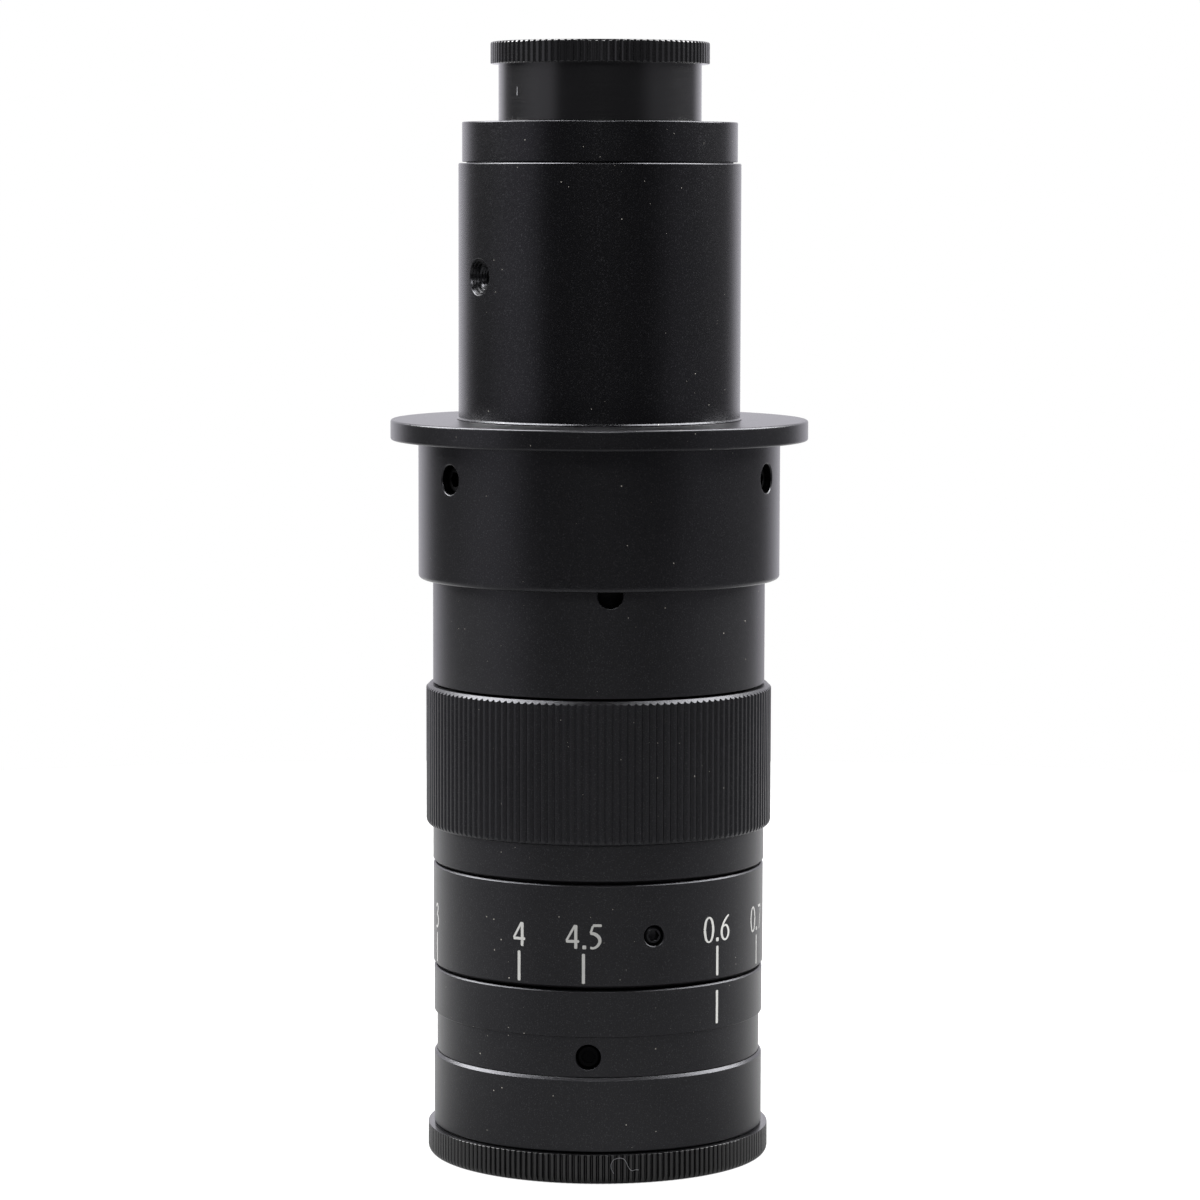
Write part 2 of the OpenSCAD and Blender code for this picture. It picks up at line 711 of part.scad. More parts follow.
// Fixed outer tube above the grip, with the neck that carries the camera adapter
module body_tube() {
    r = body_d / 2;
    z_screw = z_shoulder - collar_screw_drop;
    groove_h = collar_screw_d / 2 + groove_margin;
    color(anodised) difference() {
        turned([
            [aperture_d(rear) / 2, z_body], [r, z_body],
            [r, z_screw - groove_h], [r - groove_depth, z_screw - groove_h],
            [r - groove_depth, z_screw + groove_h], [r, z_screw + groove_h],
            [r, z_shoulder], [neck_d / 2, z_shoulder],
            [neck_d / 2, z_neck_top - chamfer], [neck_d / 2 - chamfer, z_neck_top],
            [aperture_d(rear) / 2, z_neck_top]
        ]);
        bore(body_bore_d, z_body - cut, z_guide_seat);
        bore(guide_d + 2 * seat, z_guide_seat - cut, z_guide_top);
        bore(rear_cell_d, z_shoulder, z_neck_top + cut);
        radial(variator_bearing, cam_d / 2, z_body + body_hole_z) cylinder(d = body_hole_d, h = body_d);
    }
}

module rear_cell() {
    translate([0, 0, z_shoulder + seat]) lens_cell(rear, rear_cell_d - 2 * seat);
}

module rear_crown() {
    translate([0, 0, z_shoulder + seat]) first_element(rear);
}

module rear_flint() {
    translate([0, 0, z_shoulder + seat]) second_element(rear);
}

module rear_retainer() {
    translate([0, 0, z_shoulder + seat]) retainer(rear);
}

// Flanged collar that drops into the ring of a stand
module mounting_collar() {
    flange_r = flange_d / 2;
    z0 = z_shoulder - collar_l;
    color(anodised) difference() {
        turned([
            [neck_d / 2 + seat, z0], [collar_d / 2 - edge_round, z0],
            [collar_d / 2 - edge_round / 4, z0 + edge_round / 4],
            [collar_d / 2, z0 + edge_round], [collar_d / 2, z_shoulder],
            [flange_r - chamfer, z_shoulder], [flange_r, z_shoulder + chamfer],
            [flange_r, z_adapter - chamfer], [flange_r - chamfer, z_adapter],
            [neck_d / 2 + seat, z_adapter]
        ]);
        bore(body_d + 2 * seat, z0 - cut, z_shoulder + seat);
        radial_ring(collar_screw_bearing, neck_d / 2, z_shoulder - collar_screw_drop)
            cylinder(d = collar_screw_d, h = collar_d);
    }
}

module collar_clamp_screws() {
    r0 = body_d / 2 - groove_depth + seat;
    color(blued_steel)
        radial_ring(collar_screw_bearing, r0, z_shoulder - collar_screw_drop)
            clamp_screw(collar_screw_d, collar_d / 2 - 2 * recess - r0);
}

// Tube between the zoom body and the reducer
module adapter_tube() {
    z0 = z_adapter + seat;
    z1 = z_mount_ring - seat;
    color(anodised) difference() {
        ring(adapter_bore_d, adapter_d, z0, z1, chamfer, chamfer);
        bore(neck_d + 2 * seat, z0 - cut, z_neck_top + seam);
        radial(adapter_screw_bearing, 0, z_adapter + adapter_screw_z)
            cylinder(d = adapter_screw_d, h = adapter_d);
        radial(adapter_screw_bearing, adapter_d / 2 - sink_depth, z_adapter + adapter_screw_z)
            cylinder(d1 = adapter_screw_d, d2 = adapter_sink_d + (adapter_sink_d - adapter_screw_d),
                h = 2 * sink_depth);
    }
}

module adapter_clamp_screw() {
    color(blued_steel) radial(adapter_screw_bearing, reducer_groove_r + seat, z_adapter + adapter_screw_z)
        clamp_screw(adapter_screw_d, adapter_d / 2 - 2 * sink_depth - reducer_groove_r - seat);
}

// Camera thread, marked ring and reducer tube, turned as one piece
module reducer_mount() {
    tube_r = reducer_d / 2;
    ring_r = mount_ring_d / 2;
    thread_r = camera_thread_d / 2;
    z_screw = z_adapter + adapter_screw_z;
    groove_h = adapter_screw_d / 2 + groove_margin;
    color(anodised) difference() {
        turned([
            [camera_bore_d / 2, z_reducer_foot], [tube_r, z_reducer_foot],
            [tube_r, z_screw - groove_h], [reducer_groove_r, z_screw - groove_h],
            [reducer_groove_r, z_screw + groove_h], [tube_r, z_screw + groove_h],
            [tube_r, z_mount_ring], [ring_r - chamfer, z_mount_ring], [ring_r, z_mount_ring + chamfer],
            [ring_r, z_camera_face - chamfer], [ring_r - chamfer, z_camera_face],
            [thread_r, z_camera_face],
            [thread_r, z_camera_face + camera_thread_l - chamfer],
            [thread_r - chamfer, z_camera_face + camera_thread_l],
            [camera_bore_d / 2, z_camera_face + camera_thread_l]
        ]);
        bore(aperture_d(reducer), z_reducer_foot - cut, z_reducer_lip);
        bore(reducer[0], z_reducer_foot - cut, z_reducer_lip - lens_lip_t);
    }
}

module reducer_crown() {
    hung(z_reducer_lip) first_element(reducer);
}

module reducer_flint() {
    hung(z_reducer_lip) second_element(reducer);
}

module reducer_retainer() {
    hung(z_reducer_lip) retainer(reducer);
}

// Moulded cap that screws over the camera thread
module camera_cap() {
    z_top = z_brim + camera_cap_h;
    color(moulded) difference() {
        union() {
            knurled(camera_cap_d, camera_cap_teeth, camera_cap_knurl, camera_cap_land, z_brim, z_top,
                chamfer / 2, edge_round / 2);
            ring(camera_thread_d, camera_skirt_d, z_skirt, z_brim + cut, chamfer / 2, 0);
        }
        bore(camera_thread_d + 2 * slip, z_skirt - cut, z_top - camera_cap_top);
    }
}

front_cap();
objective_barrel();
objective_cell();
objective_crown();
objective_flint();
objective_retainer();
guide_tube();
stop_pin();
index_ring();
index_clamp_screws();
cam_tube();
zoom_grip();
cam_drive_screws();
scale_ring();
scale_clamp_screws();
compensator_cell();
compensator_crown();
compensator_flint();
compensator_retainer();
compensator_follower();
variator_cell();
variator_flint();
variator_crown();
variator_retainer();
variator_follower();
body_tube();
rear_cell();
rear_crown();
rear_flint();
rear_retainer();
mounting_collar();
collar_clamp_screws();
adapter_tube();
adapter_clamp_screw();
reducer_mount();
reducer_crown();
reducer_flint();
reducer_retainer();
camera_cap();
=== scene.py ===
import json
import math

import bmesh
import bpy
import numpy as np
from mathutils import Matrix, Vector


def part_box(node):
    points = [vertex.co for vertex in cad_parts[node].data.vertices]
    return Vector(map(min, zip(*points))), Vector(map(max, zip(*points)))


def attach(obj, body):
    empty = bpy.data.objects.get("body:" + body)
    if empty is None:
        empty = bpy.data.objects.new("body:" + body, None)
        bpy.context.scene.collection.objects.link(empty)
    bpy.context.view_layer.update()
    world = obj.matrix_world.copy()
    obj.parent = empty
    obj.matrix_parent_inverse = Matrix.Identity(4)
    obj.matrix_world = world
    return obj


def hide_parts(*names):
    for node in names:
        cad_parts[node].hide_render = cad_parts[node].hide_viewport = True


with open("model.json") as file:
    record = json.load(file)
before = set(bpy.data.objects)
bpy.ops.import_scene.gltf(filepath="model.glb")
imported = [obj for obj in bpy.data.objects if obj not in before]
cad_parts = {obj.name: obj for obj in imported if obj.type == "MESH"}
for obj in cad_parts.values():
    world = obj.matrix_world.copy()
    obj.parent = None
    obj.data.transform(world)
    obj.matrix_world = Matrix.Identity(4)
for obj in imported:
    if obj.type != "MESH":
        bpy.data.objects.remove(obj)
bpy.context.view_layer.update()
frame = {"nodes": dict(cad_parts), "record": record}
mm = 0.001
print("frame loaded,", len(frame["nodes"]), "nodes")


# Small tools

def srgb(hexColour):
    # an sRGB hex value as linear red, green, blue and alpha
    c = np.array([int(hexColour[i:i + 2], 16) for i in (1, 3, 5)]) / 255
    linear = np.where(c <= 0.04045, c / 12.92, ((c + 0.055) / 1.055) ** 2.4)
    return (*linear.tolist(), 1.0)


def addNode(tree, kind, inputs=None, **settings):
    # one shader node; an input is given a value, or another node's output to link from
    node = tree.nodes.new(kind)
    for name, value in settings.items():
        setattr(node, name, value)
    for socket, value in (inputs or {}).items():
        if isinstance(value, bpy.types.NodeSocket):
            tree.links.new(value, node.inputs[socket])
        else:
            node.inputs[socket].default_value = value
    return node


def span(node):
    # outer radius, foot and top of a turned CAD node, in mm
    low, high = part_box(node)
    radius = max(-low.x, high.x, -low.y, high.y)
    return round(radius / mm * 20) / 20, round(low.z / mm, 2), round(high.z / mm, 2)


# Camera: fitted to the ellipses and edges of the rings in the photograph

cameraView = {"x": 0.15, "y": -612.9, "z": 134.85, "down": 5.375, "roll": 0.139, "lens": 133.09,
              "film": 36, "clip": (0.01, 20)}


def makeCamera(view):
    # at its place in mm, looking along +Y, pitched down and then rolled, in degrees
    data = bpy.data.cameras.new("camera")
    data.lens = view["lens"]
    data.sensor_width = view["film"]
    data.clip_start, data.clip_end = view["clip"]
    camera = bpy.data.objects.new("camera", data)
    place = Matrix.Translation((view["x"] * mm, view["y"] * mm, view["z"] * mm))
    pitch = Matrix.Rotation(math.radians(90 - view["down"]), 4, "X")
    camera.matrix_world = place @ pitch @ Matrix.Rotation(math.radians(view["roll"]), 4, "Z")
    bpy.context.scene.collection.objects.link(camera)
    bpy.context.scene.camera = camera


makeCamera(cameraView)
print("camera made")


# Surfaces

# A corner whose half angle is past "straight", in radians, stays a point. The other values are
# the share of the shorter leg that an arc may take, and how far past the arc the flat points lie,
# as a multiple of the arc's own reach and a length in mm, up to a share of each leg.
rounding = {"straight": 1.5, "arcShare": 0.42, "past": (1.5, 0.03), "flatShare": 0.48}


def softCorner(before, corner, after, radius, steps):
    # an arc that touches both legs of a corner, with one point on each leg past it that keeps
    # the leg's shading flat
    legs = np.array([before, after]) - corner
    lengths = np.linalg.norm(legs, axis=1)
    legs = legs / lengths[:, None]
    half = math.acos(float(np.clip(legs[0] @ legs[1], -1, 1))) / 2
    if half > rounding["straight"]:
        return corner[None]
    back = min(radius / math.tan(half), rounding["arcShare"] * lengths.min())
    middle = legs.sum(axis=0)
    centre = corner + middle / np.linalg.norm(middle) * back / math.cos(half)
    spokes = corner + legs * back - centre
    sweep = math.pi - 2 * half
    t = np.linspace(0, 1, steps + 1)[:, None]
    turned = np.sin((1 - t) * sweep) * spokes[0] + np.sin(t * sweep) * spokes[1]
    arc = centre + turned / math.sin(sweep)
    times, extra = rounding["past"]
    reach = np.minimum(back * times + extra, rounding["flatShare"] * lengths)
    return np.vstack([corner + legs[0] * reach[0], arc, corner + legs[1] * reach[1]])


def softOutline(points, closed=True, soft=0.06, steps=3):
    # an outline of (r, z) or (r, z, corner radius) as rows, its corners rounded; a radius of 0
    # keeps a point as it is
    flat = np.array([p[:2] for p in points], float)
    radii = [p[2] if len(p) > 2 else soft for p in points]
    count = len(flat)
    rows = []
    for i, radius in enumerate(radii):
        if radius == 0 or (not closed and i in (0, count - 1)):
            rows.append(flat[i][None])
        else:
            rows.append(softCorner(flat[i - 1], flat[i], flat[(i + 1) % count], radius, steps))
    return np.vstack(rows)


def holeRows(r, d, cells=14):
    # extra rows on a wall that line up with a hole's square patch, from below it to above it
    levels = np.linspace(d["holeZ"] - d["reach"], d["holeZ"] + d["reach"], cells + 1)
    return [(r, float(z), 0) for z in levels]


def ringBearings(bearings=(), halfWidth=0.0, cells=14, spacing=1.0):
    # bearings of a ring's columns in degrees, with evenly cut stretches at the holes
    if not bearings:
        return np.arange(0, 360, spacing)
    edges = []
    centres = sorted(b % 360 for b in bearings)
    for here, following in zip(centres, centres[1:] + [centres[0] + 360]):
        gap = following - here - 2 * halfWidth
        fill = math.ceil(gap / spacing)
        edges.append(np.linspace(here - halfWidth, here + halfWidth, cells + 1)[:-1])
        edges.append(np.linspace(here + halfWidth, following - halfWidth, fill + 1)[:-1])
    return np.concatenate(edges)


def threeBearings(first):
    # three bearings a third of a turn apart
    return [first, first + 120, first + 240]


def gridFaces(rows, columns, wrapRows):
    # the four corners of each cell of a grid whose columns close into a ring; corner (i, j) is
    # point i * columns + j
    i, j = np.meshgrid(np.arange(rows if wrapRows else rows - 1), np.arange(columns), indexing="ij")
    nextI, nextJ = (i + 1) % rows, (j + 1) % columns
    corners = [i * columns + j, i * columns + nextJ, nextI * columns + nextJ, nextI * columns + j]
    return np.stack(corners, axis=-1)


def lathe(blocks, bearings, wrapRows=True):
    # a turned surface: row i and bearing b give (r sin b, -r cos b, z), with r and z from the
    # outline's row i, or from a block that also changes with the bearing
    columns = len(bearings)
    full = [np.broadcast_to(b[:, None], (len(b), columns, 2)) if b.ndim == 2 else b for b in blocks]
    rz = np.concatenate(full)
    angle = np.radians(bearings)
    points = np.stack([rz[..., 0] * np.sin(angle), -rz[..., 0] * np.cos(angle), rz[..., 1]], axis=-1)
    return rz, points, gridFaces(len(rz), columns, wrapRows)


# How a drilled wall is matched, in mm, how far each ring lies from the square to the circle on the
# outer and inner wall, and how deep the inner wall's edge is turned in
drilling = {"level": 1e-6, "onWall": 1e-3, "atRow": 1e-4, "outer": (0.0, 0.35, 0.65, 0.85),
            "inner": (0.85, 0.5, 0.0), "lip": 0.05}


def drill(rz, bearings, faces, hole):
    # opens a round radial hole through the outer and inner wall. On each wall a square of grid
    # cells gives way to rings that blend from the square to the circle, and rings carried along
    # the hole's axis join the two circles, with a broken edge or a countersink outside.
    keep = np.ones(faces.shape[:2], bool)
    rows = np.arange(faces.shape[0])
    following = (rows + 1) % len(rz)
    zMid = (rz[rows, 0, 1] + rz[following, 0, 1]) / 2
    radius = rz[rows, 0, 0]
    level = np.abs(radius - rz[following, 0, 0]) < drilling["level"]
    beside = np.abs(zMid - hole["z"]) < hole["reach"]
    wall = [level & beside & (np.abs(radius - hole[k]) < drilling["onWall"])
            for k in ("outer", "inner")]
    step = np.roll(bearings, -1) - bearings
    mid = bearings + (step % 360) / 2
    sleeves = []
    for centre in hole["bearings"]:
        turn = (mid - centre + 180) % 360 - 180
        columns = np.where(np.abs(turn) < hole["halfWidth"])[0]
        columns = columns[np.argsort(turn[columns])]
        edge = np.append(bearings[columns], bearings[(columns[-1] + 1) % len(bearings)])
        across = np.radians((edge - centre + 180) % 360 - 180)
        for side in wall:
            keep[np.ix_(np.where(side)[0], columns)] = False
        up = np.unique(np.round(rz[rows[wall[0]], 0, 1], 6))
        top = hole["z"] + hole["reach"]
        if up[-1] < top - drilling["atRow"]:
            up = np.append(up, top)
        up = up - hole["z"]
        low, high = np.full(len(across) - 1, up[0]), np.full(len(across) - 1, up[-1])
        left, right = np.full(len(up) - 1, across[0]), np.full(len(up) - 1, across[-1])
        squareTurn = np.concatenate([across[:-1], right, across[:0:-1], left])
        squareZ = np.concatenate([low, up[:-1], high, up[:0:-1]])
        theta = np.arctan2(squareZ / up[-1], squareTurn / across[-1])
        circle = np.stack([np.cos(theta), np.sin(theta)])
        rings = [(0, 0, "outer", t) for t in drilling["outer"]]
        section = hole["section"]
        rings += [(r, depth, "outer", None) for r, depth in section]
        last = section[-1][0]
        rings += [(last, drilling["lip"], "inner", None), (last, 0, "inner", None)]
        rings += [(0, 0, "inner", t) for t in drilling["inner"]]
        placed = []
        for r, depth, side, t in rings:
            wallR = hole[side]
            rim = (section[0][0] if side == "outer" else last) * circle
            if t is not None:
                x = (1 - t) * wallR * np.sin(squareTurn) + t * rim[0]
                z = (1 - t) * squareZ + t * rim[1]
                y = np.sqrt(wallR ** 2 - x ** 2)
            else:
                x, z = r * circle
                y = np.sqrt(wallR ** 2 - x ** 2) + (depth if side == "inner" else -depth)
            a = math.radians(centre)
            placed.append(np.stack([x * math.cos(a) + y * math.sin(a),
                                    x * math.sin(a) - y * math.cos(a), z + hole["z"]], axis=-1))
        sleeves.append(np.array(placed))
    return keep, sleeves


# Shares of an edge's size: its own rounding, and how far the outer wall and the hole stay flat
mouth = {"soft": 0.12, "wall": 1.5, "hole": 1.8}


def brokenEdge(radius, size=0.14):
    # section of a hole's mouth: (radius, depth) down a narrow 45 degree cone to the wall
    soft = size * mouth["soft"]
    return [(radius + size * mouth["wall"], 0), (radius + size + soft, 0), (radius + size - soft, soft),
            (radius + soft, size - soft), (radius, size + soft), (radius, size * mouth["hole"])]


weld = {"merge": 1e-6, "collapse": 1e-7}


def makeMesh(name, parts, sharp=38):
    # parts is a list of (points in mm, quads). Points closer than the weld's metres are merged,
    # faces turned outwards, and edges past the sharp angle in degrees kept sharp.
    points = np.vstack([p.reshape(-1, 3) for p, _ in parts]) * mm
    starts = np.cumsum([0] + [p.size // 3 for p, _ in parts[:-1]])
    quads = np.vstack([f.reshape(-1, 4) + s for (_, f), s in zip(parts, starts)])
    mesh = bpy.data.meshes.new(name)
    mesh.vertices.add(len(points))
    mesh.vertices.foreach_set("co", points.astype(np.float32).ravel())
    mesh.loops.add(quads.size)
    mesh.loops.foreach_set("vertex_index", quads.astype(np.int32).ravel())
    mesh.polygons.add(len(quads))
    mesh.polygons.foreach_set("loop_start", np.arange(0, quads.size, 4, dtype=np.int32))
    mesh.update(calc_edges=True)
    work = bmesh.new()
    work.from_mesh(mesh)
    bmesh.ops.remove_doubles(work, verts=work.verts, dist=weld["merge"])
    bmesh.ops.dissolve_degenerate(work, edges=work.edges, dist=weld["collapse"])
    bmesh.ops.recalc_face_normals(work, faces=work.faces)
    work.to_mesh(mesh)
    work.free()
    mesh.shade_smooth()
    mesh.set_sharp_from_angle(angle=math.radians(sharp))
    return mesh


def addPiece(name, mesh, material, body, replaced=()):
    # the mesh as an object in its finish, which rides a body and may stand for CAD nodes
    piece = bpy.data.objects.new(name, mesh)
    piece.data.materials.append(material)
    bpy.context.scene.collection.objects.link(piece)
    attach(piece, body)
    if replaced:
        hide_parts(*replaced)
    return piece


def turnedMesh(name, blocks, bearings, holes=(), wrapRows=True):
    # a lathe surface with its radial holes
    rz, points, faces = lathe(blocks, bearings, wrapRows)
    keep = np.ones(faces.shape[:2], bool)
    parts = []
    for hole in holes:
        kept, sleeves = drill(rz, bearings, faces, hole)
        keep &= kept
        for sleeve in sleeves:
            parts.append((sleeve, gridFaces(len(sleeve), sleeve.shape[1], False)))
    return makeMesh(name, [(points, faces[keep])] + parts)


def addDrilled(name, rows, hole, finish, body, node):
    # a ring turned from one outline, whose columns line up with its radial hole
    bearings = ringBearings(hole["bearings"], hole["halfWidth"])
    mesh = turnedMesh(name, [rows], bearings, [hole])
    return addPiece(name, mesh, finish, body, [node])


def radialHole(d, outer, section=None, three=True):
    # one hole, or three round the ring, through a wall from the outer radius to the bore; reach is
    # half the width of the square that each one is cut in
    bearings = threeBearings(d["holeBearing"]) if three else [d["holeBearing"]]
    return {"bearings": bearings, "z": d["holeZ"], "outer": outer, "inner": d["boreR"],
            "reach": d["reach"], "halfWidth": math.degrees(d["reach"] / outer),
            "section": section or brokenEdge(d["holeR"])}


# Finishes

def newMaterial(name):
    # a material, its node tree, its shader and the place on the piece
    material = bpy.data.materials.new(name)
    material.use_nodes = True
    tree = material.node_tree
    place = addNode(tree, "ShaderNodeTexCoord").outputs["Object"]
    return material, tree, tree.nodes["Principled BSDF"], place


# Cloud sizes in mm, the spread of the roughness and the strength of the relief
anodisedSkin = {"cloud": 9, "spread": 0.06, "relief": 0.6}
plainSkin = {"cloud": 4, "spread": 0.05, "relief": 0.5, "paler": 1.35}
noiseDetail = {"cloud": 3, "grain": 2}
grainTips = {"from": 0.56, "to": 0.72, "colour": "#77777a"}
dustSpecks = {"cell": 1.0, "cloudWeight": 1.6, "from": 1.46, "to": 1.9, "none": -0.01,
              "colour": "#a09c94"}


def addMottle(tree, place, size, first, second):
    # soft clouds about size mm across, and the colour that they mix from the first and the second
    cloud = addNode(tree, "ShaderNodeTexNoise", {"Vector": place, "Scale": 1 / (size * mm),
                                                 "Detail": noiseDetail["cloud"]}).outputs["Fac"]
    mixed = addNode(tree, "ShaderNodeMix", {"Factor": cloud, 6: first, 7: second}, data_type="RGBA")
    return cloud, mixed.outputs[2]


def addGrain(tree, shader, place, size, depth, roughness, skin):
    # a noise of size mm varies the roughness by the skin's spread and lifts the surface by the
    # depth in mm
    fine = addNode(tree, "ShaderNodeTexNoise", {"Vector": place, "Scale": 1 / (size * mm),
                                                "Detail": noiseDetail["grain"]}).outputs["Fac"]
    gloss = addNode(tree, "ShaderNodeMapRange", {"Value": fine, "To Min": roughness - skin["spread"],
                                                 "To Max": roughness + skin["spread"]})
    tree.links.new(gloss.outputs["Result"], shader.inputs["Roughness"])
    bump = addNode(tree, "ShaderNodeBump", {"Height": fine, "Strength": skin["relief"],
                                            "Distance": depth * mm})
    tree.links.new(bump.outputs["Normal"], shader.inputs["Normal"])
    return fine


def anodised(name, colour, highlight, roughness, grain, grainDepth, glint, dust):
    # anodised aluminium: a metal under a thin dyed oxide skin, blasted or turned before it was
    # dyed. The skin is dark and even, and the grain breaks up each highlight.
    material, tree, shader, place = newMaterial(name)
    cloud, skin = addMottle(tree, place, anodisedSkin["cloud"], srgb(colour), srgb(highlight))
    fine = addGrain(tree, shader, place, grain, grainDepth, roughness, anodisedSkin)
    # the tips of the grain glint
    tips = addNode(tree, "ShaderNodeMapRange", {"Value": fine, "From Min": grainTips["from"],
                                                "From Max": grainTips["to"], "To Max": glint})
    grainy = addNode(tree, "ShaderNodeMix", {"Factor": tips.outputs[0], 6: skin,
                                             7: srgb(grainTips["colour"])}, data_type="RGBA")
    # dust: pale specks in some of the cells of a loose lattice, and more of them where the cloud
    # is thick; the dust value is the largest speck's radius as a share of a cell
    cells = addNode(tree, "ShaderNodeTexVoronoi", {"Vector": place,
                                                   "Scale": 1 / (dustSpecks["cell"] * mm)})
    pick = addNode(tree, "ShaderNodeSeparateColor", {"Color": cells.outputs["Color"]})
    drift = addNode(tree, "ShaderNodeMath", {0: cloud, 1: dustSpecks["cloudWeight"],
                                             2: pick.outputs["Red"]}, operation="MULTIPLY_ADD")
    size = addNode(tree, "ShaderNodeMapRange", {"Value": drift.outputs[0],
                                                "From Min": dustSpecks["from"],
                                                "From Max": dustSpecks["to"],
                                                "To Min": dustSpecks["none"], "To Max": dust})
    speck = addNode(tree, "ShaderNodeMath", {0: cells.outputs["Distance"], 1: size.outputs["Result"]},
                    operation="LESS_THAN")
    dusty = addNode(tree, "ShaderNodeMix", {"Factor": speck.outputs["Value"], 6: grainy.outputs[2],
                                            7: srgb(dustSpecks["colour"])}, data_type="RGBA")
    tree.links.new(dusty.outputs[2], shader.inputs["Base Color"])
    metal = addNode(tree, "ShaderNodeMath", {0: 1.0, 1: speck.outputs["Value"]}, operation="SUBTRACT")
    tree.links.new(metal.outputs["Value"], shader.inputs["Metallic"])
    return material


def plain(name, colour, metallic, roughness, grain=0.3, grainDepth=0.01, stretch=1, **sockets):
    # any other finish: one colour with a slight mottle, and a fine grain in the surface, which
    # stretch draws out sideways into the fine rings that a lathe leaves
    material, tree, shader, place = newMaterial(name)
    base = np.array(srgb(colour))
    paler = np.append(np.minimum(base[:3] * plainSkin["paler"], 1), 1)
    _, skin = addMottle(tree, place, plainSkin["cloud"], base.tolist(), paler.tolist())
    tree.links.new(skin, shader.inputs["Base Color"])
    shader.inputs["Metallic"].default_value = metallic
    drawn = addNode(tree, "ShaderNodeVectorMath", {0: place, 1: (1 / stretch, 1 / stretch, 1)},
                    operation="MULTIPLY")
    addGrain(tree, shader, drawn.outputs[0], grain, grainDepth, roughness, plainSkin)
    for socket, value in sockets.items():
        shader.inputs[socket.replace("_", " ")].default_value = value
    return material


# Colour, highlight, roughness, grain in mm, grain depth in mm, glint and dust. The real grain is
# finer, and is drawn at 0.16 mm so that it shows.
blasted = anodised("anodisedBlasted", "#2e2e30", "#343436", 0.27, 0.16, 0.02, 0.3, 0.09)
satin = anodised("anodisedSatin", "#323234", "#38383a", 0.36, 0.16, 0.02, 0.18, 0.09)
turned = anodised("anodisedTurned", "#323234", "#38383a", 0.3, 0.16, 0.02, 0.2, 0.09)
innerBlack = plain("anodisedInner", "#1c1c1d", 1.0, 0.5)
moulded = plain("mouldedAbs", "#0c0c0d", 0.0, 0.2, 0.14, 0.014, 40, IOR=1.55)
bluedSteel = plain("blackenedSteel", "#2a2a2c", 1.0, 0.36)
# steel painted near black, far darker than its own colour: painted shade for the screws that sit deep
# in the index and collar holes
holeShadeSteel = plain("holeShadeSteel", "#0b0b0c", 1.0, 0.5)
brass = plain("turnedBrass", "#b08d4a", 1.0, 0.3)
whitePaint = plain("whiteFilling", "#acaca9", 0.0, 0.6)
# a greyer filling: painted shade for the two marks that face out to the sides, whose grooves lie in
# shade
grooveShadePaint = plain("grooveShadeFilling", "#8c8c8a", 0.0, 0.6)
lint = plain("lint", "#5c5c5f", 0.0, 0.7)
glass = plain("coatedGlass", "#dfe9e6", 0.0, 0.05, grainDepth=0.0, IOR=1.52, Transmission_Weight=1.0)
print("finishes made")


# Turned rings

barrel = {"threadR": 20.6, "boreR": 21.38, "threadTop": 9.18, "footChamfer": 0.3, "slope": (0.3, 0.4)}


def makeBarrel(d):
    # a turned ring with a narrower thread at its foot and a sloped shoulder
    r, z0, z1 = span("objective_barrel")
    run, rise = d["slope"]
    rows = softOutline([
        (d["threadR"], z0), (r - d["footChamfer"], z0), (r, z0 + d["footChamfer"]),
        (r, z1 - rise), (r - run, z1), (d["boreR"], z1), (d["boreR"], d["threadTop"]),
        (d["threadR"], d["threadTop"])])
    mesh = turnedMesh("objectiveBarrel", [rows], ringBearings())
    return addPiece("objectiveBarrel", mesh, satin, "lens_body", ["objective_barrel"])


index = {"boreR": 21.38, "neckR": 22.45, "step": 20.0, "lowChamfer": 0.12, "topChamfer": 0.2,
         "holeZ": 17.25, "holeR": 1.7, "holeBearing": -3.3, "holeEdge": 0.1, "reach": 2.3}


def makeIndexRing(d):
    # the outline steps out from the drilled neck to the ring with the index line
    r, z0, z1 = span("index_ring")
    hole = radialHole(d, d["neckR"], brokenEdge(d["holeR"], d["holeEdge"]))
    rows = softOutline([
        (d["boreR"], z0), (d["neckR"], z0), *holeRows(d["neckR"], d),
        (d["neckR"], d["step"], 0.03), (r - d["lowChamfer"], d["step"], 0.03),
        (r, d["step"] + d["lowChamfer"]), (r, z1 - d["topChamfer"]), (r - d["topChamfer"], z1),
        (d["boreR"], z1), *holeRows(d["boreR"], d)[::-1]])
    return addDrilled("indexRing", rows, hole, satin, "lens_body", "index_ring")


scale = {"boreR": 21.38, "lowChamfer": 0.4, "topChamfer": 0.2, "holeZ": 33.75, "holeR": 1.4,
         "holeBearing": 19.3, "holeEdge": 0.16, "reach": 2.0}


def makeScaleRing(d):
    # a drilled ring with a chamfer at both ends
    r, z0, z1 = span("scale_ring")
    hole = radialHole(d, r, brokenEdge(d["holeR"], d["holeEdge"]))
    rows = softOutline([
        (d["boreR"], z0), (r - d["lowChamfer"], z0), (r, z0 + d["lowChamfer"]),
        *holeRows(r, d), (r, z1 - d["topChamfer"]), (r - d["topChamfer"], z1),
        (d["boreR"], z1), *holeRows(d["boreR"], d)[::-1]])
    return addDrilled("scaleRing", rows, hole, satin, "zoom_ring", "scale_ring")


body = {"boreR": 20.54, "seatTop": 92.3, "guideR": 18.02, "guideTop": 97.1, "aperture": 11.8,
        "cellR": 15.3, "shoulder": 99.5, "neckR": 18.0, "chamfer": 0.3, "holeZ": 79.9,
        "holeR": 1.75, "holeBearing": 3.9, "holeEdge": 0.08, "reach": 2.4, "grooveR": 22.5,
        "groove": (92.4, 97.2)}


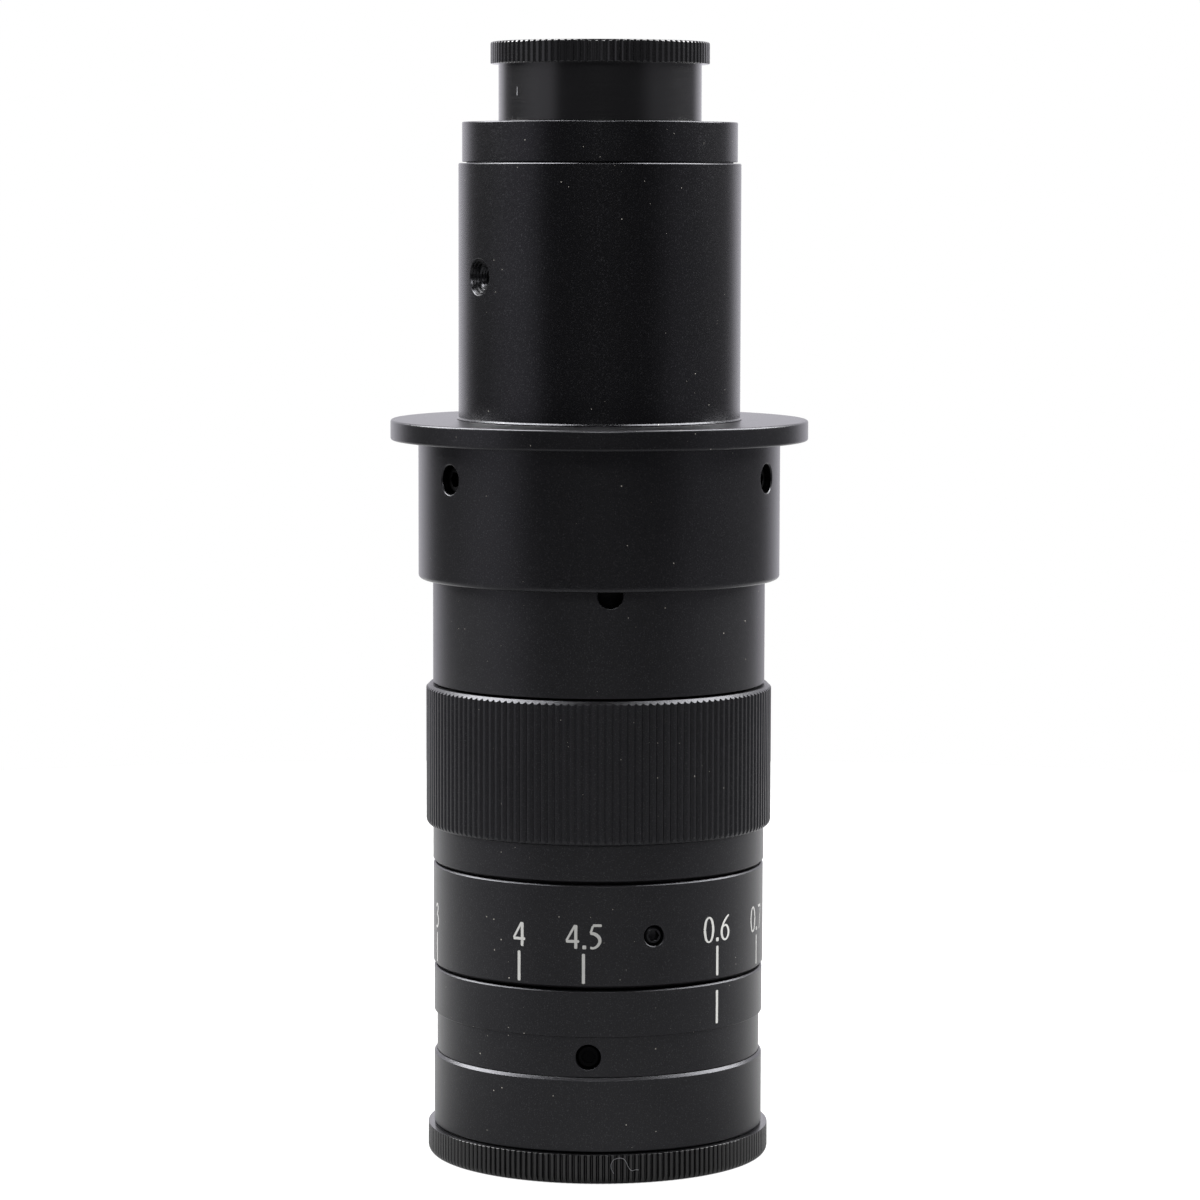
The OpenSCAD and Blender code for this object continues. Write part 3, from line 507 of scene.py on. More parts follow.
def makeBodyTube(d):
    # a tube with a groove under the collar, a hub inside, and a narrower neck at its top
    r, z0, z1 = span("body_tube")
    hole = radialHole(d, r, brokenEdge(d["holeR"], d["holeEdge"]), three=False)
    low, high = d["groove"]
    rows = softOutline([
        (d["boreR"], z0), (r, z0), *holeRows(r, d),
        (r, low), (d["grooveR"], low), (d["grooveR"], high), (r, high), (r, d["shoulder"]),
        (d["neckR"], d["shoulder"]), (d["neckR"], z1 - d["chamfer"]), (d["neckR"] - d["chamfer"], z1),
        (d["cellR"], z1), (d["cellR"], d["shoulder"]), (d["aperture"], d["shoulder"]),
        (d["aperture"], d["guideTop"]), (d["guideR"], d["guideTop"]), (d["guideR"], d["seatTop"]),
        (d["boreR"], d["seatTop"]), *holeRows(d["boreR"], d)[::-1]])
    return addDrilled("bodyTube", rows, hole, satin, "lens_body", "body_tube")


collar = {"collarR": 25.0, "boreR": 23.02, "neckR": 18.02, "shoulder": 99.5, "seatZ": 99.52,
          "edge": 0.5, "flangeEdge": 0.3, "holeZ": 94.8, "holeR": 2.0, "holeBearing": -54, "reach": 2.7}


def makeCollar(d):
    # the collar and its flange as one outline with rounded edges
    r, z0, z1 = span("mounting_collar")
    hole = radialHole(d, d["collarR"])
    edge, rim = d["edge"], d["flangeEdge"]
    rows = softOutline([
        (d["boreR"], z0), (d["collarR"], z0, edge), *holeRows(d["collarR"], d),
        (d["collarR"], d["shoulder"], 0.04), (r, d["shoulder"], rim), (r, z1, rim), (d["neckR"], z1),
        (d["neckR"], d["seatZ"]), (d["boreR"], d["seatZ"]),
        *holeRows(d["boreR"], d)[::-1]], steps=5)
    return addDrilled("mountingCollar", rows, hole, turned, "lens_body", "mounting_collar")


adapter = {"boreR": 17.0, "footR": 18.02, "footTop": 109.77, "chamfer": 0.13, "bead": 0.2,
           "beadZ": 0.1, "holeZ": 122.1, "holeR": 1.5, "sinkR": 2.5, "sinkSteps": 3,
           "sinkWall": 0.12, "sinkRise": 0.01, "sinkEdge": 0.06, "threadRows": 6, "threadFrom": 0.05,
           "threadDepth": 0.2, "threadStep": 0.22, "holeBearing": -57.6, "reach": 3.2}


def makeAdapter(d):
    r, z0, z1 = span("adapter_tube")
    # the countersink is cut in steps, and the hole is tapped
    steps = d["sinkSteps"]
    depth = d["sinkR"] - d["holeR"]
    section = brokenEdge(d["sinkR"], d["sinkEdge"])[:-1]
    for k in range(steps):
        low = (k + 1) * depth / steps
        section += [(d["sinkR"] - k * depth / steps - d["sinkWall"], low),
                    (d["sinkR"] - low, low + d["sinkRise"])]
    section += [(d["holeR"] - d["threadDepth"] * (k % 2),
                 depth + d["threadFrom"] + d["threadStep"] * k) for k in range(d["threadRows"])]
    hole = radialHole(d, r, section, three=False)
    c, bead, beadTop = d["chamfer"], d["bead"], z0 + d["beadZ"]
    rows = softOutline([
        (d["footR"], z0), (r + bead, z0), (r + bead, beadTop, 0.03), (r, beadTop + bead, 0.03),
        *holeRows(r, d), (r, z1 - c), (r - c, z1), (d["boreR"], z1),
        *holeRows(d["boreR"], d)[::-1],
        (d["boreR"], d["footTop"]), (d["footR"], d["footTop"])])
    return addDrilled("adapterTube", rows, hole, blasted, "lens_body", "adapter_tube")


mount = {"ringR": 18.95, "ringZ": (137.5, 143.1), "relief": (0.6, 0.16), "chamfer": 0.15,
         "threadFoot": 0.3, "tubeR": 16.98, "grooveR": 15.04, "groove": (120.2, 124.0),
         "boreR": 11.0, "lensR": 14.0, "lipZ": 120.44, "apertureR": 12.8, "apertureTop": 122.44,
         "threadR": 12.7, "pitch": 0.794, "threadDepth": 0.36, "rowsPerTurn": 9, "flank": 2.6,
         "crest": 0.15, "runOut": 0.4}


def threadBlock(d, z0, z1, bearings):
    # rows across a thread: r goes in and out as a triangle wave of z less the turn, cut off at its
    # crest and root, and runs out over a share of the pitch at both ends
    pitch = d["pitch"]
    z = np.linspace(z0, z1, int((z1 - z0) / pitch * d["rowsPerTurn"]))[:, None]
    phase = (z / pitch - bearings[None] / 360) % 1
    wave = np.clip(np.abs(phase - 0.5) * d["flank"] - d["crest"], 0, 1)
    fade = np.clip(np.minimum(z - z0, z1 - z) / (d["runOut"] * pitch), 0, 1)
    r = d["threadR"] - d["threadDepth"] * wave * fade
    return np.stack([r, np.broadcast_to(z, r.shape)], axis=-1)


def makeReducerMount(d):
    # an outline from the bore round to the marked ring, closed by the thread's rows
    _, z0, z1 = span("reducer_mount")
    low, high = d["ringZ"]
    grooveLow, grooveHigh = d["groove"]
    inset, rise = d["relief"]
    c, threadFoot = d["chamfer"], high + d["threadFoot"]
    bearings = ringBearings()
    inner = softOutline([
        (d["threadR"] - c, z1), (d["boreR"], z1), (d["boreR"], d["apertureTop"]),
        (d["apertureR"], d["apertureTop"]), (d["apertureR"], d["lipZ"]), (d["lensR"], d["lipZ"]),
        (d["lensR"], z0), (d["tubeR"], z0), (d["tubeR"], grooveLow), (d["grooveR"], grooveLow),
        (d["grooveR"], grooveHigh), (d["tubeR"], grooveHigh), (d["tubeR"], low),
        (d["ringR"] - inset, low), (d["ringR"] - inset, low + rise),
        (d["ringR"], low + rise, 0.08), (d["ringR"], high, c), (d["threadR"], high, 0.04),
        (d["threadR"], threadFoot, 0)], closed=False)
    thread = threadBlock(d, threadFoot + 0.02, z1 - c, bearings)
    mesh = turnedMesh("reducerMount", [inner, thread], bearings)
    return addPiece("reducerMount", mesh, blasted, "lens_body", ["reducer_mount"])


# Knurled pieces

# Shares of half a tooth: where the flute's floor starts, and how far inside the land and the floor
# a guard column stands that keeps their shading flat. The ends' lengths are in mm.
flute = {"floor": 0.94, "landGuard": 0.09, "floorGuard": 0.93}
knurlEnd = {"rows": 5, "soft": 0.04, "least": 0.02, "guardRows": (1, 4)}


def knurlRadius(radius, teeth, depth, land, bearings):
    # a flat land on each tooth, then straight flanks to a narrow flat at the bottom of the flute
    phase = np.abs((bearings / 360 * teeth) % 1 - 0.5) * 2
    fall = np.clip((phase - land) / (flute["floor"] - land), 0, 1)
    return radius - depth * fall


def knurlBearings(teeth, land):
    # each tooth's columns, the same on both sides of its middle
    steps = np.array([0, land - flute["landGuard"], land, 0.5 * (land + flute["floor"]),
                      flute["floorGuard"], 1.0])
    phase = np.concatenate([-steps[:0:-1], steps[:-1]]) / 2 + 0.5
    return ((np.arange(teeth)[:, None] + phase[None]) * 360 / teeth).ravel()


def knurlBlock(knurl, low, high, z0, z1, rounded=(False, False)):
    # rows up a knurled band. Each end is turned on a lathe as a 45 degree cone or a quarter circle
    # of the given size, so each column starts where that profile reaches its own radius.
    soft = knurlEnd["soft"]
    blocks = []
    for size, z, up, isRound in ((low, z0, 1, rounded[0]), (high, z1, -1, rounded[1])):
        start = knurl.max() - size
        reach = np.maximum(knurl - start, knurlEnd["least"])
        t = np.linspace(0, 1, knurlEnd["rows"])[:, None]
        if isRound:
            turn = t * np.arcsin(np.minimum(reach / size, 1))
            end = np.stack([start + size * np.sin(turn), z + up * size * (1 - np.cos(turn))], axis=-1)
        else:
            end = np.stack([start + t * (reach - soft), z + up * t * (reach - soft)], axis=-1)
        top = np.abs(end[-1:, :, 1] - z) + np.array(knurlEnd["guardRows"])[:, None] * soft
        wall = np.stack([np.broadcast_to(knurl, top.shape), z + up * top], axis=-1)
        blocks.append((end, wall))
    (endLow, wallLow), (endHigh, wallHigh) = blocks
    return np.concatenate([endLow, wallLow, wallHigh[::-1], endHigh[::-1]])


grip = {"teeth": 148, "depth": 0.25, "land": 0.3, "lowEnd": 0.85, "highCone": 0.5, "plainR": 23.0,
        "plainZ": 41.1, "knurlZ": 46.1, "sleeveR": 21.36, "boreR": 20.06, "grooveR": 20.86,
        "groove": (31.95, 35.55), "chamfer": 0.3, "holeZ": 37.8, "holeR": 1.27, "holeBearing": 60,
        "reach": 1.75, "holeCells": 8}


def makeGrip(d):
    # the knurled band, closed by an outline of the bore, the sleeve and the plain band
    r, z0, z1 = span("zoom_grip")
    hole = radialHole(d, d["sleeveR"])
    bearings = knurlBearings(d["teeth"], d["land"])
    knurl = knurlRadius(r, d["teeth"], d["depth"], d["land"], bearings)
    band = knurlBlock(knurl, d["lowEnd"], d["highCone"], d["knurlZ"], z1, rounded=(True, False))
    low, high = d["groove"]
    inRows = holeRows(d["boreR"], d, d["holeCells"])
    outRows = holeRows(d["sleeveR"], d, d["holeCells"])
    inner = softOutline([
        (r - d["highCone"], z1, 0), (d["boreR"], z1), *inRows[::-1], (d["boreR"], z0),
        (d["sleeveR"], z0), (d["sleeveR"], low, 0), (d["grooveR"], low, 0), (d["grooveR"], high, 0),
        (d["sleeveR"], high, 0), *outRows, (d["sleeveR"], d["plainZ"]),
        (d["plainR"] - d["chamfer"], d["plainZ"]),
        (d["plainR"], d["plainZ"] + d["chamfer"]), (d["plainR"], d["knurlZ"], 0)],
        closed=False, steps=1)
    mesh = turnedMesh("zoomGrip", [band, inner[1:]], bearings, [hole])
    return addPiece("zoomGrip", mesh, satin, "zoom_ring", ["zoom_grip"])


frontCap = {"teeth": 180, "depth": 0.35, "land": 0.42, "brimTop": 4.1, "lowEnd": 0.9, "highEnd": 0.06,
            "plugR": 20.56, "plugWall": 1.5, "floor": 1.6, "chamfer": 0.3, "middleR": 6, "rimGap": 0.1}


def makeFrontCap(d):
    # the flat foot, the knurled brim, and the plug's outline to the middle of its floor
    r, z0, z1 = span("front_cap")
    bearings = knurlBearings(d["teeth"], d["land"])
    knurl = knurlRadius(r, d["teeth"], d["depth"], d["land"], bearings)
    band = knurlBlock(knurl, d["lowEnd"], d["highEnd"], z0, d["brimTop"], rounded=(True, True))
    wallR = d["plugR"] - d["plugWall"]
    inside = softOutline([
        (r - d["highEnd"], d["brimTop"], 0), (d["plugR"], d["brimTop"]),
        (d["plugR"], z1 - d["chamfer"]), (d["plugR"] - d["chamfer"], z1), (wallR, z1),
        (wallR, d["floor"]), (d["middleR"], d["floor"], 0), (0, d["floor"], 0)], closed=False)
    foot = np.array([(0, z0), (d["middleR"], z0), (r - d["lowEnd"] - d["rimGap"], z0)])
    mesh = turnedMesh("frontCap", [foot, band, inside[1:]], bearings, wrapRows=False)
    return addPiece("frontCap", mesh, moulded, "front_cap", ["front_cap"])


cameraCap = {"teeth": 100, "depth": 0.22, "land": 0.4, "brimZ": 151.02, "lowEnd": 0.15,
             "highEnd": 0.28, "skirtR": 13.95, "boreR": 12.74, "ceiling": 152.42, "footEdge": 0.1,
             "middleR": 6, "rimGap": 0.1}


def makeCameraCap(d):
    # the ceiling and the skirt, the knurled brim, and the flat top
    r, z0, z1 = span("camera_cap")
    bearings = knurlBearings(d["teeth"], d["land"])
    knurl = knurlRadius(r, d["teeth"], d["depth"], d["land"], bearings)
    band = knurlBlock(knurl, d["lowEnd"], d["highEnd"], d["brimZ"], z1, rounded=(True, True))
    under = softOutline([
        (0, d["ceiling"], 0), (d["middleR"], d["ceiling"], 0), (d["boreR"], d["ceiling"]),
        (d["boreR"], z0), (d["skirtR"], z0, d["footEdge"]), (d["skirtR"], d["brimZ"]),
        (r - d["lowEnd"], d["brimZ"], 0)], closed=False)
    top = np.array([(r - d["highEnd"] - d["rimGap"], z1), (d["middleR"], z1), (0, z1)])
    mesh = turnedMesh("cameraCap", [under[:-1], band, top], bearings, wrapRows=False)
    return addPiece("cameraCap", mesh, moulded, "camera_cap", ["camera_cap"])


for make, sizes in ((makeBarrel, barrel), (makeIndexRing, index), (makeScaleRing, scale),
                    (makeBodyTube, body), (makeCollar, collar), (makeAdapter, adapter),
                    (makeReducerMount, mount), (makeGrip, grip), (makeFrontCap, frontCap),
                    (makeCameraCap, cameraCap)):
    piece = make(sizes)
    print(piece.name, len(piece.data.polygons), "faces")


# Clamp screws: the foot and top are distances from the lens axis

clampScrews = [
    {"name": "indexScrews", "node": "index_clamp_screws", "body": "lens_body",
     # the index and collar screws take the steel that is painted near black, as painted shade deep in
     # their holes
     "bearings": threeBearings(-3.3), "z": 17.25, "radius": 1.68, "foot": 20.88, "top": 21.95,
     "bevel": 0.35, "steel": holeShadeSteel},
    {"name": "scaleScrews", "node": "scale_clamp_screws", "body": "zoom_ring",
     "bearings": threeBearings(19.3), "z": 33.75, "radius": 1.38, "foot": 20.88, "top": 22.7,
     "bevel": 0.42, "steel": bluedSteel},
    {"name": "collarScrews", "node": "collar_clamp_screws", "body": "lens_body",
     "bearings": threeBearings(-54), "z": 94.8, "radius": 1.98, "foot": 22.52, "top": 24.0,
     "bevel": 0.4, "steel": holeShadeSteel},
    {"name": "adapterScrew", "node": "adapter_clamp_screw", "body": "lens_body",
     "bearings": [-57.6], "z": 122.1, "radius": 1.48, "foot": 15.06, "top": 17.45,
     "bevel": 0.3, "steel": bluedSteel}]


# Shares of the screw's radius and length, and edges in mm
screwShape = {"socket": 0.5, "face": 0.62, "depth": 0.6, "footBevel": 0.2, "soft": 0.05,
              "socketEdge": 0.02, "point": 0.15, "spacing": 5.0}


def makeScrews(d):
    # a screw turned round its own axis; the socket's radius follows a hexagon round it
    r, foot, top, bevel = d["radius"], d["foot"], d["top"], d["bevel"]
    low, edge = screwShape["footBevel"], screwShape["socketEdge"]
    turn = np.arange(0, 360, screwShape["spacing"])
    flat = screwShape["socket"] * r / np.cos(np.radians((turn + 30) % 60 - 30))
    floor = top - screwShape["depth"] * (top - foot)
    outside = softOutline([(0, foot, 0), (r - low, foot), (r, foot + low), (r, top - bevel),
                           (r - bevel, top), (screwShape["face"] * r, top, 0)],
                          closed=False, soft=screwShape["soft"])
    socket = np.stack([np.stack([flat + edge, 0 * flat + top], axis=-1),
                       np.stack([flat, 0 * flat + top - edge], axis=-1),
                       np.stack([flat, 0 * flat + floor], axis=-1)])
    point = np.array([(0, floor - screwShape["point"])])
    _, points, faces = lathe([outside, socket, point], turn, wrapRows=False)
    parts = []
    for bearing in np.radians(d["bearings"]):
        along, out = points[..., 0], points[..., 2]
        placed = np.stack([out * np.sin(bearing) + along * np.cos(bearing),
                           along * np.sin(bearing) - out * np.cos(bearing),
                           points[..., 1] + d["z"]], axis=-1)
        parts.append((placed, faces))
    mesh = makeMesh(d["name"], parts)
    return addPiece(d["name"], mesh, d["steel"], d["body"], [d["node"]])


for sizes in clampScrews:
    makeScrews(sizes)
print("clamp screws made")


# Scale: each digit is a few pen strokes of (x, y, half width) in mm from its lower left corner

digits = {
    "0": (2.0, [[(0.22, 1.74, 0.21), (0.47, 2.98, 0.18), (1.0, 3.42, 0.12), (1.53, 2.98, 0.18),
                 (1.78, 1.74, 0.21), (1.53, 0.5, 0.18), (1.0, 0.06, 0.12), (0.47, 0.5, 0.18),
                 (0.22, 1.74, 0.21)]]),
    "1": (1.4, [[(0.8, 0.08, 0.2), (0.8, 3.4, 0.2)], [(0.2, 2.85, 0.11), (0.85, 3.3, 0.14)]]),
    "2": (1.95, [[(0.24, 2.6, 0.16), (0.5, 3.2, 0.15), (0.98, 3.38, 0.15), (1.5, 3.0, 0.2),
                  (1.5, 2.3, 0.2), (1.0, 1.3, 0.15), (0.2, 0.24, 0.12)],
                 [(0.2, 0.2, 0.18), (1.85, 0.2, 0.18)]]),
    "3": (1.85, [[(0.3, 2.9, 0.14), (0.85, 3.38, 0.15), (1.4, 2.95, 0.2), (1.2, 2.3, 0.17),
                  (0.7, 1.95, 0.1)], [(0.75, 1.96, 0.1), (1.35, 1.65, 0.19), (1.55, 0.95, 0.2),
                                      (1.1, 0.24, 0.16), (0.3, 0.2, 0.17)]]),
    "4": (2.06, [[(1.5, 0.05, 0.21), (1.5, 3.3, 0.21)], [(0.16, 1.06, 0.19), (1.96, 1.06, 0.19)],
                 [(0.2, 1.12, 0.15), (1.42, 3.3, 0.15)]]),
    "5": (1.85, [[(0.55, 3.25, 0.18), (1.78, 3.25, 0.18)], [(0.58, 3.2, 0.15), (0.26, 2.2, 0.15)],
                 [(0.2, 2.18, 0.16), (0.8, 2.1, 0.22), (1.38, 1.64, 0.23), (1.5, 1.0, 0.21),
                  (1.12, 0.4, 0.17), (0.62, 0.16, 0.15), (0.2, 0.24, 0.18)]]),
    "6": (2.0, [[(1.8, 3.42, 0.1), (1.2, 3.0, 0.16), (0.6, 2.25, 0.18), (0.26, 1.3, 0.21),
                 (0.48, 0.42, 0.18), (1.02, 0.08, 0.13), (1.56, 0.45, 0.18), (1.74, 1.1, 0.2),
                 (1.5, 1.8, 0.17), (1.02, 2.08, 0.12), (0.5, 1.84, 0.1)]]),
    "7": (1.8, [[(0.2, 3.25, 0.17), (1.7, 3.25, 0.17)], [(1.62, 3.2, 0.14), (0.8, 0.08, 0.16)]]),
    ".": (0.64, [[(0.06, 0.27, 0.26), (0.58, 0.27, 0.26)]])}

# The marks' bearings are in degrees; lift is how far the filling stands proud, and each further
# stroke of a digit stands a stagger higher, so that strokes that cross don't share a surface.
scaleMarks = {"tickLow": 27.4, "tickHigh": 31.5, "halfWidth": 0.215, "baseline": 32.1, "gap": 0.27,
              "lift": 0.012, "stagger": 0.0015,
              "marks": [("0.6", 45.0), ("0.7", 72.0), ("1", 124.7), ("1.5", 181.7), ("2", 223.7),
                        ("2.5", 256.7), ("3", 284.3), ("4", 332.3), ("4.5", 355.1)],
              # the marks whose filling is painted darker, as painted shade in their grooves
              "grooveShade": ["0.7", "3"],
              "indexLow": 20.78, "indexHigh": 25.37, "indexBearing": 45.2}


pen = {"samples": 25, "ends": (0, 0.02, 0.05, 0.1, 0.16), "corner": 0.14, "least": 0.02,
       "apart": 1e-4, "sunk": 0.04}


def strokePath(points):
    # a smooth curve through the points (Catmull-Rom), denser near its ends, where it narrows
    # along a small circle so that its corners are round
    p = np.array(points, float)
    ends = np.vstack([2 * p[0] - p[1], p, 2 * p[-1] - p[-2]])
    t = np.linspace(0, 1, pen["samples"])[:, None]
    spans = []
    for a, b, c, d in zip(ends, ends[1:], ends[2:], ends[3:]):
        spans.append(0.5 * (2 * b + (c - a) * t + (2 * a - 5 * b + 4 * c - d) * t ** 2
                            + (3 * b - a - 3 * c + d) * t ** 3))
    curve = np.vstack([spans[0]] + [s[1:] for s in spans[1:]])
    along = np.append(0, np.cumsum(np.hypot(*np.diff(curve[:, :2], axis=0).T)))
    near = np.array(pen["ends"])
    last = near[-1]
    middle = np.linspace(last, along[-1] - last, max(int(along[-1] / last), 2))[1:-1]
    where = np.concatenate([near, middle, along[-1] - near[::-1]])
    where = where[np.append(True, np.diff(where) > pen["apart"])]
    x, y, half = (np.interp(where, along, curve[:, k]) for k in range(3))
    soft = np.minimum(pen["corner"], half)
    inside = np.clip(np.minimum(where, along[-1] - where), 0, soft)
    half = np.maximum(half - soft + np.sqrt(soft ** 2 - (soft - inside) ** 2), pen["least"])
    return x, y, half


def strokePart(points, radius, bearing, height, lift):
    # a stroke wrapped on a cylinder: x runs along the arc, and the ribbon stands lift mm proud
    x, y, half = strokePath(points)
    way = np.stack([np.gradient(x), np.gradient(y)])
    way /= np.linalg.norm(way, axis=0)
    rows = []
    top, foot = radius + lift, radius - pen["sunk"]
    for side, r in ((1, top), (-1, top), (-1, foot), (1, foot)):
        angle = math.radians(bearing) + (x - side * way[1] * half) / radius
        z = y + side * way[0] * half + height
        rows.append(np.stack([r * np.sin(angle), -r * np.cos(angle), z], axis=-1))
    points = np.stack(rows, axis=1)
    count = len(x)
    caps = np.array([[[0, 1, 2, 3]], [[4 * count - 4, 4 * count - 1, 4 * count - 2, 4 * count - 3]]])
    return points, np.vstack([gridFaces(count, 4, False).reshape(-1, 4), caps.reshape(-1, 4)])


def makeScale(d, radius):
    # the filling of the two marks that face out to the sides is painted darker: painted shade standing
    # in for the shade of their engraved grooves
    unshaded, grooveShade = [], []
    for text, bearing in d["marks"]:
        parts = grooveShade if text in d["grooveShade"] else unshaded
        tick = [(0, d["tickLow"], d["halfWidth"]), (0, d["tickHigh"], d["halfWidth"])]
        parts.append(strokePart(tick, radius, bearing, 0, d["lift"]))
        width = sum(digits[c][0] for c in text) + d["gap"] * (len(text) - 1)
        left = -width / 2
        for c in text:
            for k, stroke in enumerate(digits[c][1]):
                moved = [(x + left, y, half) for x, y, half in stroke]
                lift = d["lift"] + d["stagger"] * k
                parts.append(strokePart(moved, radius, bearing, d["baseline"], lift))
            left += digits[c][0] + d["gap"]
    addPiece("scaleMarks", makeMesh("scaleMarks", unshaded), whitePaint, "zoom_ring")
    addPiece("grooveShadeMarks", makeMesh("grooveShadeMarks", grooveShade), grooveShadePaint, "zoom_ring")


def makeIndexLine(d, radius):
    # one upright stroke
    line = [(0, d["indexLow"], d["halfWidth"]), (0, d["indexHigh"], d["halfWidth"])]
    part = strokePart(line, radius, d["indexBearing"], 0, d["lift"])
    return addPiece("indexLine", makeMesh("indexLine", [part]), whitePaint, "lens_body")


makeScale(scaleMarks, span("scale_ring")[0])
makeIndexLine(scaleMarks, span("index_ring")[0])
print("scale made")


# Wear and lint: a chip standing off the camera cap's skirt, and a fibre on the front cap's teeth

chip = {"radius": 13.95, "bearing": -53.5, "z": 146.55, "lift": 0.05,
        "stroke": [(0.05, 0, 0.06), (0.0, 0.3, 0.11), (0.02, 0.7, 0.08), (0.04, 1.2, 0.05)]}
fibre = {"radius": 23.76, "thickness": 0.035, "sides": 6,
         "path": [(2.2, 1.6), (1.85, 2.3), (1.85, 2.95), (2.2, 3.5), (2.9, 3.72), (3.5, 3.6),
                  (3.9, 3.1), (4.15, 2.5), (4.6, 1.95), (5.2, 2.05), (5.6, 2.0)]}


def makeFibre(d):
    # a round thread swept along a curve that lies on a cylinder
    x, y, _ = strokePath([(x, z, d["thickness"]) for x, z in d["path"]])
    way = np.stack([np.gradient(x), np.gradient(y)])
    way /= np.linalg.norm(way, axis=0)
    turn = np.radians(np.arange(0, 360, 360 / d["sides"]))[None]
    side = d["thickness"] * np.cos(turn)
    r = d["radius"] + d["thickness"] * (1 + np.sin(turn))
    angle = (x[:, None] - way[1][:, None] * side) / d["radius"]
    z = y[:, None] + way[0][:, None] * side
    points = np.stack([r * np.sin(angle), -r * np.cos(angle), z], axis=-1)
    mesh = makeMesh("lintFibre", [(points, gridFaces(len(x), d["sides"], False))])
    return addPiece("lintFibre", mesh, lint, "front_cap")


def makeChip(d):
    # one short stroke of uneven width
    part = strokePart(d["stroke"], d["radius"], d["bearing"], d["z"], d["lift"])
    return addPiece("skirtChip", makeMesh("skirtChip", [part]), lint, "camera_cap")


makeFibre(fibre)
makeChip(chip)
print("wear made")


# Finishes of the CAD pieces that stay

finishBySlot = {"anodised_black": satin, "inner_black": innerBlack, "cap_black": moulded,
                "blackened_steel": bluedSteel, "brass": brass, "optical_glass": glass}
for row in frame["record"]["subparts"]:
    node = frame["nodes"][row["node"]]
    node.data.materials.clear()
    node.data.materials.append(finishBySlot[row["material_slot"]])
print("CAD pieces finished")


# Studio: a white table, a room that is white behind, grey at the sides and dark at the front, two
# softboxes above the left and right that leave a dark gap overhead, and a weak one in front. The
# room is given as bearings in degrees with their levels, and a box as its place and size in metres
# and its power in watts.

studio = {"tableR": 0.42, "tableSides": 96, "paper": 0.13, "glow": 0.9,
          "backGlow": 0.55, "backFrom": -0.08, "backTo": 0.12,
          "nearGlow": 0.1, "nearFrom": 0.035, "nearTo": 0.08,
          "tint": (0.99, 0.97, 1.05), "overheadFrom": 0.6, "overheadTo": 0.9, "overheadLeft": 0.3,
          "room": [(-180, 1.1), (-145, 1.1), (-132, 0.25), (-118, 0.1), (-104, 0.15), (-78, 0.6),
                   (-58, 0.64), (-46, 0.11), (44, 0.11), (64, 0.36), (90, 0.3), (130, 0.25),
                   (146, 1.0), (180, 1.1)],
          "boxes": [((0.59, 0.2, 0.76), (0.55, 1.1), 32), ((-0.59, 0.2, 0.76), (0.55, 1.1), 38),
                    ((0, -0.95, 0.76), (0.4, 0.4), 6)],
          "aim": (0, 0, 0.08)}


def makeWorld(d):
    # a direction's level is the room's level at its bearing times how dark it is overhead, and
    # the camera and glass see white
    world = bpy.data.worlds.new("studio")
    world.use_nodes = True
    tree = world.node_tree
    tree.nodes.clear()
    way = addNode(tree, "ShaderNodeTexCoord").outputs["Generated"]
    parts = addNode(tree, "ShaderNodeSeparateXYZ", {"Vector": way})
    front = addNode(tree, "ShaderNodeMath", {0: parts.outputs["Y"], 1: -1.0}, operation="MULTIPLY")
    # the bearing runs from the front, where the photograph was taken from, to the right
    bearing = addNode(tree, "ShaderNodeMath", {0: parts.outputs["X"], 1: front.outputs[0]},
                      operation="ARCTAN2")
    turn = addNode(tree, "ShaderNodeMapRange", {"Value": bearing.outputs[0], "From Min": -math.pi,
                                                "From Max": math.pi})
    room = addNode(tree, "ShaderNodeValToRGB", {"Fac": turn.outputs[0]})
    stops = room.color_ramp.elements
    for i, (degrees, level) in enumerate(d["room"]):
        stop = stops[i] if i < 2 else stops.new(1)
        stop.position = degrees / 360 + 0.5
        stop.color = (*(level * t for t in d["tint"]), 1)
    # the room darkens overhead, by the height of the direction
    overhead = addNode(tree, "ShaderNodeMapRange", {"Value": parts.outputs["Z"],
                                                    "From Min": d["overheadFrom"],
                                                    "From Max": d["overheadTo"],
                                                    "To Min": 1.0, "To Max": d["overheadLeft"]})
    dimmed = addNode(tree, "ShaderNodeVectorMath", {0: room.outputs["Color"], 3: overhead.outputs[0]},
                     operation="SCALE")
    ray = addNode(tree, "ShaderNodeLightPath")
    seen = addNode(tree, "ShaderNodeMath", {0: ray.outputs["Is Camera Ray"],
                                            1: ray.outputs["Is Transmission Ray"]}, operation="MAXIMUM")
    level = addNode(tree, "ShaderNodeMix", {"Factor": seen.outputs[0], 6: dimmed.outputs[0],
                                            7: (1, 1, 1, 1)}, data_type="RGBA")
    light = addNode(tree, "ShaderNodeBackground", {"Color": level.outputs[2]})
    addNode(tree, "ShaderNodeOutputWorld", {"Surface": light.outputs[0]})
    bpy.context.scene.world = world


